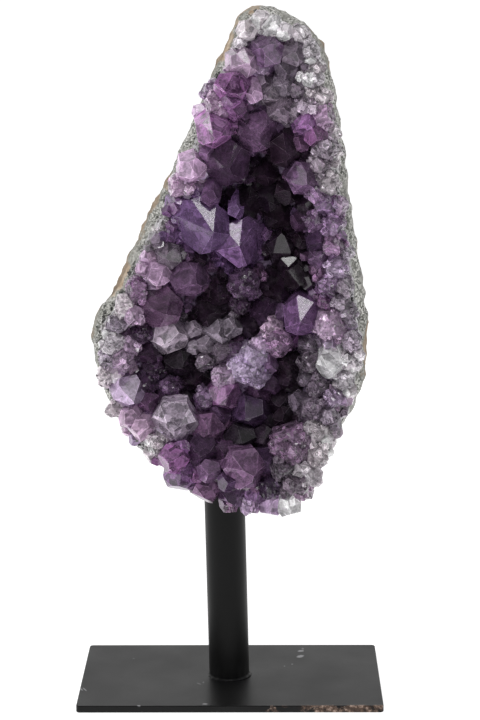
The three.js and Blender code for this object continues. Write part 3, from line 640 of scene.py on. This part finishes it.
def base_material():
    """Massive quartz under the crystals, white at the rim and purple-black inside."""
    n = Nodes(bpy.data.materials.new("quartz_bed"))
    veil = n.noise(300, 5, 0.6)
    where = n.plus(n.attribute("inset"), n.span(veil, 0.3, 0.7, -3.0, 3.0))
    colour = n.ramp(
        n.span(where, 4.0, 20.0),
        (0.0, (0.60, 0.58, 0.60)), (0.25, (0.60, 0.54, 0.63)), (0.5, (0.50, 0.42, 0.56)),
        (0.8, (0.34, 0.25, 0.40)),
    )
    vein = n.span(n.noise(95, 6, 0.65, 2.0), 0.35, 0.65, 0.45, 1.2)
    speck = n.span(n.cells(900), 0.1, 0.7, 1.15, 0.7)
    n.feed("Base Color", n.scaled(colour, n.times(vein, speck)))
    n.feed("Roughness", n.span(veil, 0.3, 0.7, 0.25, 0.5))
    n.feed("Normal", n.bump(n.cells(1100), 0.9, 0.0008))
    n.set(IOR=1.544)
    return n.owner


TONES = {  # a crystal's tint, how much it varies between facets, and how crackled it is
    # K: deep purple quartz set nearly black, partly painted shade for the crystals sunk in the
    # recesses.
    "K": ((0.022, 0.012, 0.022), 0.6, 0.2),
    "D": ((0.075, 0.040, 0.085), 0.6, 0.3),
    "V": ((0.200, 0.108, 0.245), 0.4, 0.2),
    "P": ((0.190, 0.106, 0.202), 0.5, 0.4),
    "L": ((0.580, 0.430, 0.610), 0.35, 0.4),
    "M": ((0.265, 0.122, 0.285), 0.6, 1.0),
    "S": ((0.195, 0.152, 0.200), 0.5, 0.8),
    "G": ((0.370, 0.308, 0.378), 0.45, 0.8),
    "W": ((0.945, 0.870, 0.920), 0.3, 0.7),
    "A": ((0.780, 0.650, 0.800), 0.4, 1.0),
    "m": ((0.325, 0.200, 0.340), 0.5, 1.0),
    "w": ((0.670, 0.610, 0.655), 0.4, 0.7),
}
BODIES = {  # one joined solid each: its tones, clearness, absorption colour and density
    "purple": ("KDVPLMA", 0.55, (0.55, 0.30, 0.60), 45),
    "pale": ("SGW", 0.55, (0.70, 0.64, 0.70), 25),
}


# ---- stand ----

def bevelled_plate():
    """The plate with rounded corners and a rounded edge, as one closed mesh."""
    rings = []
    steps = 6
    bevel = PLATE["bevel"]
    turns = np.linspace(0, math.pi / 2, 5)
    profile = [(bevel * (1 - math.sin(a)), bevel * (1 - math.cos(a))) for a in turns]
    levels = profile + [(inn, PLATE["thick"] - up) for inn, up in reversed(profile)]
    for inn, z in levels:
        w, d = PLATE["width"] / 2 - inn, PLATE["depth"] / 2 - inn
        r = PLATE["corner"] + bevel - inn
        ring = []
        right, back = w - r, d - r
        for cx, cy, start in (
            (right, -back, -90), (right, back, 0), (-right, back, 90), (-right, -back, 180),
        ):
            for a in np.radians(np.linspace(start, start + 90, steps)):
                ring.append((cx + r * math.cos(a), cy + r * math.sin(a), z))
        rings.append(ring)
    count = len(rings[0])
    corners = [p for ring in rings for p in ring]
    faces = [list(range(count))[::-1], [(len(rings) - 1) * count + i for i in range(count)]]
    for r in range(len(rings) - 1):
        for i in range(count):
            j = (i + 1) % count
            faces.append([r * count + i, r * count + j, (r + 1) * count + j, (r + 1) * count + i])
    return new_object("plate_body", corners, faces)


def post_body():
    """The round post with the bead of weld round its foot."""
    sides, bead = 96, 7
    radius, length = POST["radius"], POST["top"] - PLATE["thick"]
    profile = [(0.0, 0.0)]
    for t in np.linspace(0, 1, bead):
        profile.append((radius + WELD["leg"] * (1 - t) ** 1.6, WELD["rise"] * t))
    profile += [(radius, z) for z in np.linspace(WELD["rise"], length, 14)[1:]]
    profile.append((0.0, length))
    corners, faces = [], []
    for r, z in profile:
        if r == 0:
            corners.append((0, 0, z))
            continue
        for i in range(sides):
            a = 2 * math.pi * i / sides
            ripple = 0.18 * math.sin(a * 17 + 0.6 * math.sin(a * 3))
            on_bead = 0 < z < WELD["rise"] * 0.95
            grow = r + ripple * (1 - z / WELD["rise"]) if on_bead else r
            corners.append((grow * math.cos(a), grow * math.sin(a), z))
    top = len(corners) - 1
    rows = len(profile) - 2
    for i in range(sides):
        j = (i + 1) % sides
        faces.append([0, 1 + j, 1 + i])
        for r in range(rows - 1):
            low, high = 1 + r * sides, 1 + (r + 1) * sides
            faces.append([low + i, low + j, high + j, high + i])
        faces.append([top, 1 + (rows - 1) * sides + i, 1 + (rows - 1) * sides + j])
    corners = np.array(corners)
    lean = -POST["lean"]
    x = corners[:, 0] * math.cos(lean) + corners[:, 2] * math.sin(lean)
    z = -corners[:, 0] * math.sin(lean) + corners[:, 2] * math.cos(lean)
    moved = np.stack([x + POST["foot_x"], corners[:, 1], z + PLATE["thick"] + 0.05], 1)
    return new_object("post_body", moved, faces)


# ---- stone ----

def spine_points(p):
    a, b = SPINE
    t = np.clip(((p - a) @ (b - a)) / ((b - a) @ (b - a)), 0, 1)
    return a + t[:, None] * (b - a)


def fine_outline(step):
    """The outline with points about step mm apart, corners slightly eased."""
    p = OUTLINE
    for _ in range(2):
        q = np.roll(p, -1, axis=0)
        p = np.stack([p, (p + q) / 2], 1).reshape(-1, 2)
        p = 0.1 * np.roll(p, 1, axis=0) + 0.8 * p + 0.1 * np.roll(p, -1, axis=0)
    closed = np.vstack([p, p[:1]])
    length = np.concatenate([[0], np.cumsum(np.hypot(*np.diff(closed, axis=0).T))])
    at = np.linspace(0, length[-1], int(length[-1] / step), endpoint=False)
    return np.stack([np.interp(at, length, closed[:, 0]), np.interp(at, length, closed[:, 1])], 1)


def ring_of(line, inset, share):
    s = spine_points(line)
    length = np.hypot(*(s - line).T)
    t = (inset + share * (length - inset)) / length
    return line + t[:, None] * (s - line)


def skin(rings, first, last):
    count = len(rings[0])
    corners = np.vstack([[first], [last], *rings])
    faces = []
    for i in range(count):
        j = (i + 1) % count
        faces.append([0, 2 + i, 2 + j])
        for r in range(len(rings) - 1):
            a, b = 2 + r * count, 2 + (r + 1) * count
            faces.append([a + i, b + i, b + j, a + j])
        a = 2 + (len(rings) - 1) * count
        faces.append([1, a + j, a + i])
    return corners, faces


def noises(points, size, seed):
    shift = Vector((seed * 3.7, seed * 1.9, seed * 5.3))
    return np.array([noise.noise(Vector(p) / size + shift) for p in points])


def rock_body():
    line = fine_outline(1.5)
    middle = SPINE.mean(0)
    rings, rind = [], []

    away = np.hypot(line[:, :1] - RIND[:, 0], line[:, 1:] - RIND[:, 1]) / RIND[:, 2]
    stained = smooth(2.0 - 1.6 * away.min(1))

    def add(flat, y, amount, everywhere=1.0):
        rings.append(np.stack([flat[:, 0], y, flat[:, 1]], 1))
        rind.append(amount * (everywhere + (1 - everywhere) * stained))

    for share in np.linspace(0.94, 0.03, 26) ** 1.35:
        flat = ring_of(line, 0, share)
        add(flat, back_y(*flat.T), 0.85, 1.0 if share > 0.08 else 0.5)
    flat = np.c_[line, line[:, 0] * 0]
    jag = 0.55 * noises(flat, 2.6, 1) + 0.5 * noises(flat, 7.0, 2)
    foot = foot_share(line[:, 1])
    for t in np.linspace(0, 1, 6):
        inset = RIM["band_in"] * t ** 2 - jag * (1 - t * 0.5)
        y = RIM["skin_y"] + (RIM["band_y"] - RIM["skin_y"]) * t
        y = y + (FOOT["back"] + (FOOT["front"] - FOOT["back"]) * t) * foot
        add(ring_of(line, inset, 0), y, 1.35 - 0.8 * t, 0.25)
    for inset in (2.9, 3.6, 4.3, 5.0, 5.8, 6.6, 8.0, 11.0, 15.5):
        flat = ring_of(line, inset, 0)
        add(flat, face_y(*flat.T), max(0.0, 0.35 - 0.12 * (inset - 2.2)))
    for share in (0.35, 0.75):
        flat = ring_of(line, 15.5, share)
        add(flat, face_y(*flat.T), 0.0)
    ends = [np.array([middle[0], float(f(*middle)), middle[1]]) for f in (back_y, face_y)]
    corners, faces = skin(rings, *ends)
    return corners, faces, np.concatenate([[0.85, 0.0], *rind])


def roughened(corners, faces, size, amount, seed):
    """Corners moved along their normals by layered noise."""
    mesh = bpy.data.meshes.new("scratch")
    mesh.from_pydata(corners.tolist(), [], faces)
    mesh.update()
    normals = np.zeros(len(corners) * 3)
    mesh.vertices.foreach_get("normal", normals)
    bpy.data.meshes.remove(mesh)
    move = sum(amount / 2 ** k * noises(corners, size / 2.1 ** k, seed + k) for k in range(3))
    return corners + normals.reshape(-1, 3) * move[:, None]


def make_rock():
    corners, faces, rind = rock_body()
    corners = roughened(corners, faces, 6.0, 1.1, 5)
    return smooth_shaded(new_object("rock_body", corners, faces, {"rind": rind}))


def crust_inset(z):
    return CRUST["inset"] + (CRUST["foot_inset"] - CRUST["inset"]) * foot_share(z)


def make_bed():
    """The opaque layer of massive quartz that the crystals are rooted in."""
    line = fine_outline(2.0)
    edge = crust_inset(line[:, 1]) - 0.3
    rings = []
    layers = [
        (0.5, -1.6), (0.1, -1.6), (0.0, -1.2), (0.0, 0.6), (0.02, 1.8), (0.06, 2.9), (0.12, 3.5),
        (0.2, 3.9), *((share, BED) for share in (0.28, 0.36, 0.46, 0.56, 0.68, 0.8, 0.92)),
    ]
    for share, lift in layers:
        flat = ring_of(line, edge, share)
        rings.append(np.stack([flat[:, 0], face_y(*flat.T) - lift, flat[:, 1]], 1))
    middle = SPINE.mean(0)
    face = float(face_y(*middle))
    ends = [np.array([middle[0], face - lift, middle[1]]) for lift in (-1.6, BED)]
    corners, faces = skin(rings, *ends)
    corners = roughened(corners, faces, 3.2, 0.9, 11)
    inset = inset_of(corners[:, 0], corners[:, 2])
    return smooth_shaded(new_object("quartz_bed", corners, faces, {"inset": inset}))


def looking(azimuth, elevation):
    """A direction from its azimuth, from the front towards +X, and its elevation, in degrees."""
    a, e = math.radians(azimuth), math.radians(elevation)
    return np.array([math.sin(a) * math.cos(e), -math.cos(a) * math.cos(e), math.sin(e)])


def own_faces(row, normals, reaches, centre, axis):
    """The planes of a crystal with the tip faces that its own table gives it."""
    key = (row[0], row[1])
    apex = centre + axis * row[2] * POINT
    tips = np.abs(normals @ axis - math.cos(FACE_TILT)) < 1e-3
    if key in TIPS:
        given = TIPS[key]
        normals, reaches = normals[~tips], reaches[~tips]
    else:
        given = [FACES[key]]
        looks = looking(*given[0][:2])
        tips = np.nonzero(tips)[0]
        keep = np.arange(len(normals)) != tips[(normals[tips] @ looks).argmax()]
        normals, reaches = normals[keep], reaches[keep]
    looks = np.array([looking(a, e) for a, e, _ in given])
    cuts = np.array([c for _, _, c in given]) * row[2]
    return np.vstack([looks, normals]), np.concatenate([looks @ apex - cuts, reaches])


def solid_of(row, seed):
    """One crystal: its planes, corners, faces, axis and tint."""
    normals, reaches, centre, axis = crystal_planes(row, seed)
    shining = (row[0], row[1]) in FACES or (row[0], row[1]) in TIPS
    if shining:
        normals, reaches = own_faces(row, normals, reaches, centre, axis)
    corners, faces = hull(normals, reaches, centre, row[2])
    colour, unlike, crackle = TONES.get(row[6], TONES[row[6].upper()])
    c = [float(chance(seed * a)) - 0.5 for a in (1.7, 2.3, 3.1)]
    hue = (0.03 if row[6] in "wWgGsS" else 0.09) * c[1] * np.array([1.0, -0.4, -1.0])
    if row[:2] in PINKISH:
        hue = 0.05 * np.array([1.0, -0.8, 0.0])
    tint = np.array(colour) * (1 + 0.5 * c[0]) * (1 + hue)
    return {
        "row": row, "tone": row[6].upper(), "normals": normals, "reaches": reaches,
        "centre": centre, "axis": axis, "corners": corners, "faces": faces, "unlike": unlike,
        "crackle": crackle, "tint": np.clip(tint, 0.01, 0.95), "shining": shining,
        "sugar": 0.0 if row[6].isupper() else 1.0,
    }


def joined(name, solids):
    """Closed solids joined into one by a boolean union, with each face's crystal kept."""
    others = bpy.data.collections.new(name)
    parts = []
    for i, s in enumerate(solids):
        mesh = bpy.data.meshes.new(name)
        mesh.from_pydata((s["corners"] * MM).tolist(), [], [list(map(int, f)) for f in s["faces"]])
        give(mesh, "facet", i * FACETS + np.arange(len(s["faces"])), "FACE", "INT")
        parts.append(bpy.data.objects.new(name, mesh))
    bpy.context.scene.collection.objects.link(parts[0])
    for part in parts[1:]:
        others.objects.link(part)
    union = parts[0].modifiers.new("union", "BOOLEAN")
    union.operation = "UNION"
    union.operand_type = "COLLECTION"
    union.collection = others
    union.solver = "MANIFOLD"
    graph = bpy.context.evaluated_depsgraph_get()
    mesh = bpy.data.meshes.new_from_object(parts[0].evaluated_get(graph), depsgraph=graph)
    for part in parts:
        old = part.data
        bpy.data.objects.remove(part)
        bpy.data.meshes.remove(old)
    bpy.data.collections.remove(others)
    corners = read(mesh.vertices, "co", 3) / MM
    sizes, loops = read(mesh.polygons, "loop_total"), read(mesh.loops, "vertex_index")
    marks = read(mesh.attributes["facet"].data, "value")
    bpy.data.meshes.remove(mesh)
    return faceted(name, corners, np.split(loops, np.cumsum(sizes)[:-1]), marks, solids)


def read(items, key, width=1):
    """Numbers of a mesh's items, in rows of the given width."""
    kind = np.float64 if width == 3 else np.int64
    values = np.zeros(len(items) * width, dtype=kind)
    items.foreach_get(key, values)
    return values.reshape(-1, 3) if width == 3 else values


def faceted(name, corners, polygons, marks, solids):
    """A mesh whose faces are split from their middles, with what the material reads.

    Each corner knows its facet's number and tint, how deep it is in from the edge of its
    triangle, whether that edge is a ridge or a crease, and its place along the crystal.
    """
    middles = np.array([corners[p].mean(0) for p in polygons])
    normals = np.array([newell(corners[p]) for p in polygons])
    across = {}
    for f, p in enumerate(polygons):
        for a, b in zip(p, np.roll(p, -1)):
            across[(int(a), int(b))] = f
    triangles, owner, deep, folds, fan = [], [], [], [], []
    for f, p in enumerate(polygons):
        ring = corners[p]
        a, b = ring - middles[f], np.roll(ring, -1, axis=0) - middles[f]
        sides = np.cross(a, b) @ normals[f]
        length = np.linalg.norm(b - a, axis=1)
        if len(p) > 3 and (sides <= 1e-6).any() or (length < 1e-7).any():
            for k in range(1, len(p) - 1):
                triangles.append((p[0], p[k], p[k + 1]))
                owner.append(f)
                deep.append(2.0)
                folds.append(0.0)
                fan.append(False)
            continue
        for k in range(len(p)):
            other = across.get((int(p[(k + 1) % len(p)]), int(p[k])))
            turn = 0.0 if other is None else float((middles[other] - ring[k]) @ normals[f])
            far = 0.0 if other is None else np.linalg.norm(middles[other] - ring[k])
            triangles.append((len(corners) + f, p[k], p[(k + 1) % len(p)]))
            owner.append(f)
            deep.append(sides[k] / length[k])
            folds.append(0.0 if abs(turn) < 0.02 * far else -math.copysign(1.0, turn))
            fan.append(True)
    shape = np.vstack([corners, middles]), np.array(triangles), np.array(owner)
    return painted(name, shape, (deep, folds, np.array(fan)), marks, normals, solids)


def newell(ring):
    """Unit normal of a polygon."""
    after = np.roll(ring, -1, axis=0)
    total = np.cross(ring, after).sum(0)
    return total / max(np.linalg.norm(total), 1e-12)


def painted(name, shape, edges, marks, looks, solids):
    """The split mesh with its attributes. A look is the way a facet faces."""
    corners, triangles, owner = shape
    deep, folds, fan = edges
    used = np.unique(triangles)
    place = np.full(len(corners), -1)
    place[used] = np.arange(len(used))
    made = new_object(name, corners[used], place[triangles])
    crystal, number = (marks // FACETS)[owner], (marks % FACETS)[owner]

    def of_crystal(key):
        return np.array([s[key] for s in solids])[crystal]

    shining = of_crystal("shining") & (number == 0)
    facet = np.where(shining, 1.0, chance(marks * 0.731 + 2.0)[owner])
    light = 1 + of_crystal("unlike") * (chance(marks * 1.37 + 5.0)[owner] - 0.5)
    # Facets that look right or up are painted darker: painted shade by the way each one faces.
    light = light * (1 - PAINTED_SHADE_RIGHT * looks[owner, 0] - PAINTED_SHADE_TOP * looks[owner, 2])
    tints = np.clip(of_crystal("tint") * light[:, None], 0.008, 0.95)
    points = np.array([s["row"][2] * POINT for s in solids])[crystal]
    out = corners[triangles] - of_crystal("centre")[:, None]
    along = (out * of_crystal("axis")[:, None]).sum(2) / points[:, None] * 0.5 + 0.5
    far = np.where(fan, 0.0, 2.0)
    tints = np.repeat(np.c_[tints, np.ones(len(tints))], 3, 0)
    give(made.data, "tint", tints, "CORNER", "FLOAT_COLOR")
    each = {"facet": facet, "fold": folds, **{k: of_crystal(k) for k in ("sugar", "crackle")}}
    for key, values in each.items():
        give(made.data, key, np.repeat(values, 3), "CORNER")
    give(made.data, "depth", np.stack([deep, far, far], 1), "CORNER")
    give(made.data, "along", np.clip(along, 0, 1), "CORNER")
    return made


def make_crystals():
    """All crystals, joined into one solid for each kind of quartz."""
    listed = [solid_of(row, i + FIRST_SEED) for i, row in enumerate(CRYSTALS + SMALL)]
    every = listed + fill_between(listed) + offshoots(listed)
    for name, (tones, clear, absorb, density) in BODIES.items():
        mine = [s for s in every if s["tone"] in tones and is_closed(s["corners"], s["faces"])]
        body = joined("crystals_" + name, mine)
        material = quartz("quartz_" + name, clear, absorb, density)
        dressed(body, material, "amethyst_crystals")
    return listed


def fill_between(listed):
    """Small crystals between the listed ones, each with the tone of its nearest."""
    x, z = surface_points(FILL["spacing"], 21, lambda x, z: crust_inset(z) + 1.0, FILL["deepest"])
    places = np.array([s["row"][:2] for s in listed])
    widths = np.array([s["row"][2] for s in listed])
    nearest = (np.hypot(x[:, None] - places[:, 0], z[:, None] - places[:, 1]) / widths).argmin(1)
    found = []
    for n in range(len(x)):
        c = [float(chance(n * a + 31)) for a in (1.1, 2.3, 3.7, 4.9)]
        width = FILL["least"] + FILL["more"] * c[0]
        tone = listed[nearest[n]]["tone"]
        lean = (c[1] - 0.5) * 1.8, (c[2] - 0.5) * 1.8
        row = (x[n], z[n], width, *lean, -0.6 + 1.6 * c[3], tone)
        found.append(solid_of(row, n + FILL["seed"]))
    return found


def offshoots(listed):
    """Small crystals standing on the sugary ones, most of them side by side with these."""
    found = []
    for i, s in enumerate(listed):
        if s["row"][6].isupper():
            continue
        points, normals = [], []
        for k, face in enumerate(s["faces"]):
            polygon = s["corners"][face]
            normal = unit(np.cross(polygon[1] - polygon[0], polygon[2] - polygon[0]))
            if normal[1] < 0.3:
                spacing = OFFSHOOTS["pale" if s["tone"] in BODIES["pale"][0] else "purple"]
                points.append(polygon_points(polygon, spacing, i * 13.7 + k * 2.3))
                normals.append(np.repeat(normal[None], len(points[-1]), 0))
        points, normals = np.vstack(points), np.vstack(normals)
        shown = ~inside_any(points, listed, i)
        for j, (p, normal) in enumerate(zip(points[shown], normals[shown])):
            found.append(offshoot(s, p, normal, i * 71 + j))
    return found


def offshoot(parent, place, normal, seed):
    """A hexagonal prism with a tip, grown parallel to its parent or nearly so."""
    c = [float(chance(seed * a + 3)) for a in (1.3, 2.9, 3.7, 4.1, 5.3)]
    width = 0.8 + (2.0 if parent["tone"] in BODIES["pale"][0] else 1.4) * c[0] ** 1.5
    stray = np.array([c[1] - 0.5, c[2] - 0.5, c[3] - 0.5])
    axis = unit(parent["axis"] + normal * 0.25 + stray * 0.35)
    side = turned(unit(np.cross([1.0, 0, 0], axis)), axis, c[4] * math.pi)
    centre = place + normal * width * (0.25 * c[3] - 0.2)
    normals, reaches = [], []
    for k in range(6):
        out = turned(side, axis, k * math.pi / 3)
        normals.append(out)
        reaches.append(out @ centre + width * (0.85 + 0.3 * float(chance(seed + k * 3.1))))
        tip = out * math.sin(FACE_TILT) + axis * math.cos(FACE_TILT)
        normals.append(tip)
        reaches.append(tip @ centre + width * (0.72 + 0.2 * float(chance(seed + k * 5.3))))
    normals.append(-axis)
    reaches.append(-axis @ centre + width * 1.6)
    normals, reaches = np.array(normals), np.array(reaches)
    corners, faces = hull(normals, reaches, centre, width)
    bright = 1 + 0.6 * (c[4] - 0.4)
    return {
        "row": (0, 0, width), "tone": parent["tone"], "normals": normals, "reaches": reaches,
        "centre": centre, "axis": axis, "corners": corners, "faces": faces,
        "tint": np.clip(parent["tint"] * bright, 0.02, 0.97), "unlike": parent["unlike"],
        "crackle": 1.0, "sugar": 0.4, "shining": False,
    }


def polygon_points(polygon, spacing, seed):
    """Points spread over a flat polygon, at about one in each square of the spacing."""
    a = polygon[0]
    found = []
    for k in range(1, len(polygon) - 1):
        b, c = polygon[k], polygon[k + 1]
        area = 0.5 * np.linalg.norm(np.cross(b - a, c - a))
        count = int(area / spacing ** 2 + float(chance(seed + k * 0.37)))
        if count:
            u = chance(seed + k * 7.7 + np.arange(count) * 1.13)
            v = chance(seed + k * 3.3 + np.arange(count) * 2.71)
            flip = u + v > 1
            u, v = np.where(flip, 1 - u, u), np.where(flip, 1 - v, v)
            found.append(a + u[:, None] * (b - a) + v[:, None] * (c - a))
    return np.vstack(found) if found else np.zeros((0, 3))


def inside_any(points, solids, skip):
    """True where a point lies deeper than a little inside another crystal."""
    hidden = np.zeros(len(points), dtype=bool)
    for i, s in enumerate(solids):
        if i == skip:
            continue
        near = np.linalg.norm(points - s["centre"], axis=1) < s["row"][2] * 2.6
        if near.any():
            deep = (points[near] @ s["normals"].T - s["reaches"]).max(1) < -0.3
            hidden[np.nonzero(near)[0][deep]] = True
    return hidden


def pyramids(name, points, axes, widths, tall, seed, tint):
    """Tiny six-sided crystals as one mesh, each a closed pyramid sunk in its place."""
    count = len(points)
    numbers = np.arange(count)
    helper = np.where(np.abs(axes[:, :1]) < 0.8, [[1.0, 0, 0]], [[0, 0, 1.0]])
    u = unit(np.cross(axes, helper))
    v = np.cross(axes, u)
    turn = chance(seed + numbers * 0.77) * math.pi
    ring = []
    for k in range(6):
        a = turn + k * math.pi / 3
        r = widths * (0.85 + 0.3 * chance(seed + numbers * 1.31 + k * 9.1))
        out = np.cos(a)[:, None] * u + np.sin(a)[:, None] * v
        ring.append(points + out * r[:, None] - axes * (widths * 0.55)[:, None])
    off = (chance(seed + numbers * 2.9) - 0.5) * 0.5
    rise = widths * tall * (0.8 + 0.5 * chance(seed + numbers * 3.7))
    apex = points + axes * rise[:, None] + u * (off * widths)[:, None]
    corners = np.stack(ring + [apex], 1).reshape(-1, 3)
    faces = []
    for i in range(count):
        s = i * 7
        faces.append([s + 5, s + 4, s + 3, s + 2, s + 1, s])
        faces += [[s + k, s + (k + 1) % 6, s + 6] for k in range(6)]
    fixed = {"facet": 0.3, "fold": 0.0, "sugar": 0.7, "depth": 1.0, "crackle": 1.0}
    shared = {key: np.full(count * 7, value) for key, value in fixed.items()}
    along = np.tile([0.35] * 6 + [1.0], count)
    made = new_object(name, corners, faces, {"along": along, **shared})
    give(made.data, "tint", np.repeat(np.c_[tint, np.ones(count)], 7, 0), "POINT", "FLOAT_COLOR")
    return made


def surface_points(spacing, seed, least, most):
    """Points of a jittered grid in the XZ plane whose inset lies in a range."""
    low, high = OUTLINE.min(0), OUTLINE.max(0)
    grid = (np.arange(a, b, spacing) for a, b in zip(low, high))
    xs, zs = np.meshgrid(*grid)
    x, z = xs.ravel(), zs.ravel()
    numbers = np.arange(len(x))
    x = x + (chance(numbers * 1.7 + seed) - 0.5) * spacing * 1.3
    z = z + (chance(numbers * 2.9 + seed) - 0.5) * spacing * 1.3
    inset = inset_of(x, z)
    ok = inside_outline(x, z) & (inset > least(x, z)) & (inset < most)
    return x[ok], z[ok]


def inside_outline(x, z):
    inside = np.zeros(x.shape, dtype=bool)
    for (ax, az), (bx, bz) in zip(OUTLINE, np.roll(OUTLINE, -1, axis=0)):
        cross = (az > z) != (bz > z)
        with np.errstate(divide="ignore", invalid="ignore"):
            at = (bx - ax) * (z - az) / (bz - az) + ax
        inside ^= cross & (x < at)
    return inside


def bed_front(x, z):
    """Depth of the bed's front."""
    inset = inset_of(x, z)
    edge = crust_inset(z)
    lift = BED * smooth((inset - edge + 1.2) / 4.5)
    return face_y(x, z) - lift


def make_rim(solids):
    """Sugar quartz along the rim, thinning out over the rock's band."""
    def least(x, z):
        right = smooth((x - 5) / 30) * smooth((z - 95) / 20)
        return np.maximum(2.4 + 2.0 * right - 1.0 * foot_share(z) + 1.2 * lumps(x, z, 5), 2.0)

    x, z = surface_points(SUGAR["spacing"], 3, least, SUGAR["deepest"])
    points = np.stack([x, bed_front(x, z), z], 1)
    points = points[~inside_any(points, solids, -1)]
    x, z = points[:, 0], points[:, 2]
    numbers = np.arange(len(points))
    slope = [inset_of(x + a, z + b) - inset_of(x - a, z - b) for a, b in ((0.5, 0.0), (0.0, 0.5))]
    outward = np.clip((9 - inset_of(x, z)) / 6, 0, 1)
    axes = np.stack([-slope[0] * outward, -np.ones(len(x)), -slope[1] * outward], 1)
    axes += np.stack([chance(numbers * a + 9) - 0.5 for a in (1.3, 2.7, 4.1)], 1) * 1.2
    widths = SUGAR["least"] + SUGAR["more"] * chance(numbers * 0.83 + 1) ** 4
    white = smooth((inset_of(x, z) - 3.6 + 1.2 * lumps(x, z, 6)) / 4.5)[:, None]
    grey = np.array([0.20, 0.205, 0.18]) * (1 - white)
    shade = chance(numbers * 5.9)[:, None]
    tint = grey * (0.2 + shade) + np.array(TONES["w"][0]) * white * (0.38 + 0.8 * shade)
    obj = pyramids("rim_sugar", points, unit(axes), widths, 0.9, 3, np.clip(tint, 0.02, 0.97))
    dressed(obj, quartz("sugar_rim", 0.35, None, 0), "amethyst_crystals")


# ---- light, floor and camera ----

# The room's brightness: the world's Y from and to, and the strength from and to. It is
# darker on the camera's side than behind the object, and the camera itself sees white.
ROOM = (-0.25, 0.5, 0.06, 1.0)
SOFTBOXES = [  # name, azimuth from the front, elevation, distance, size, radiance, seen in gloss
    ("key", -12, 62, 1.6, 0.36, 10.0, True),
    ("top", 40, 66, 1.4, 0.34, 3.5, True),
    ("left", -75, 15, 0.9, 0.5, 1.6, True),
    ("right", 80, 10, 0.9, 0.4, 1.2, True),
    ("front", -20, 40, 1.2, 0.9, 2.9, False),
]


def add_light(name, place, aim, size, power):
    data = bpy.data.lights.new(name, "AREA")
    data.energy = power
    data.size = size
    obj = bpy.data.objects.new(name, data)
    bpy.context.scene.collection.objects.link(obj)
    obj.location = place
    obj.rotation_euler = (Vector(aim) - Vector(place)).to_track_quat("-Z", "Y").to_euler()
    return obj


def studio():
    scene = bpy.context.scene
    scene.view_settings.view_transform = "Standard"
    scene.view_settings.look = "None"
    scene.world = bpy.data.worlds.new("studio")
    w = Nodes(scene.world, "Generated")
    split = w.add("ShaderNodeSeparateXYZ", {0: w.place})
    behind = w.span(split.outputs["Y"], *ROOM)
    seen = w.add("ShaderNodeLightPath").outputs["Is Camera Ray"]
    pick = w.add("ShaderNodeMix", {0: seen, 2: behind, 3: 1.0}, data_type="FLOAT")
    background = w.tree.nodes["Background"]
    w.put(pick.outputs[0], background.inputs["Strength"])
    w.put(WHITE, background.inputs["Color"])
    aim = Vector((0, 0, 0.18))
    for name, azimuth, elevation, away, size, radiance, gloss in SOFTBOXES:
        place = aim + away * Vector(looking(azimuth, elevation))
        light = add_light(name, place, aim, size, radiance * math.pi * size * size)
        light.visible_glossy = gloss
    far = 2e4
    corners = [(-far, -far, 0), (far, -far, 0), (far, far, 0), (-far, far, 0)]
    floor = new_object("floor", corners, [range(4)])
    n = Nodes(bpy.data.materials.new("floor_paper"))
    n.feed("Base Color", n.ramp(n.noise(3, 2), (0.3, (0.50,) * 3), (0.7, (0.52,) * 3)))
    n.set(Roughness=0.9, Emission_Color=WHITE, Emission_Strength=0.8)
    floor.data.materials.append(n.owner)


# The camera fitted to the stand's edges: angles in radians, its place in millimetres and
# its focal length in pixels of a picture 720 pixels high.
CAMERA = {
    "pitch": 0.204643, "yaw": 0.0115876, "roll": -0.00516453, "focal": 2182.98,
    "place": (14.846, -889.69, 325.30), "pixels": 720, "sensor": 36,
}


def camera():
    pitch, yaw, roll = (CAMERA[key] for key in ("pitch", "yaw", "roll"))
    level = math.cos(pitch)
    forward = Vector((-math.sin(yaw) * level, math.cos(yaw) * level, -math.sin(pitch)))
    right = Vector((math.cos(yaw), math.sin(yaw), 0))
    up = right.cross(forward)
    r = right * math.cos(roll) + up * math.sin(roll)
    u = -right * math.sin(roll) + up * math.cos(roll)
    data = bpy.data.cameras.new("camera")
    data.sensor_width = CAMERA["sensor"]
    data.lens = CAMERA["focal"] / CAMERA["pixels"] * CAMERA["sensor"]
    data.clip_end = 50
    obj = bpy.data.objects.new("camera", data)
    bpy.context.scene.collection.objects.link(obj)
    sides = zip(r, u, -forward, CAMERA["place"])
    obj.matrix_world = Matrix([(a, b, c, place * MM) for a, b, c, place in sides] + [(0, 0, 0, 1)])
    bpy.context.scene.camera = obj


camera()
studio()
# The plate's paint is lifted to 1.2: painted light on the same paint as the post.
plate_paint = painted_steel("plate_paint", 1.2, 1.295, plate_wear)
dressed(bevelled_plate(), plate_paint, "base_plate")
# The post's paint is lowered to 0.8: painted shade on the same paint as the plate.
post = dressed(post_body(), painted_steel("post_paint", 0.8, 1.25), "post")
smooth_shaded(post)
dressed(make_rock(), rock_material(), "host_rock")
dressed(make_bed(), base_material(), "amethyst_crystals")
make_rim(make_crystals())

bpy.context.view_layer.update()
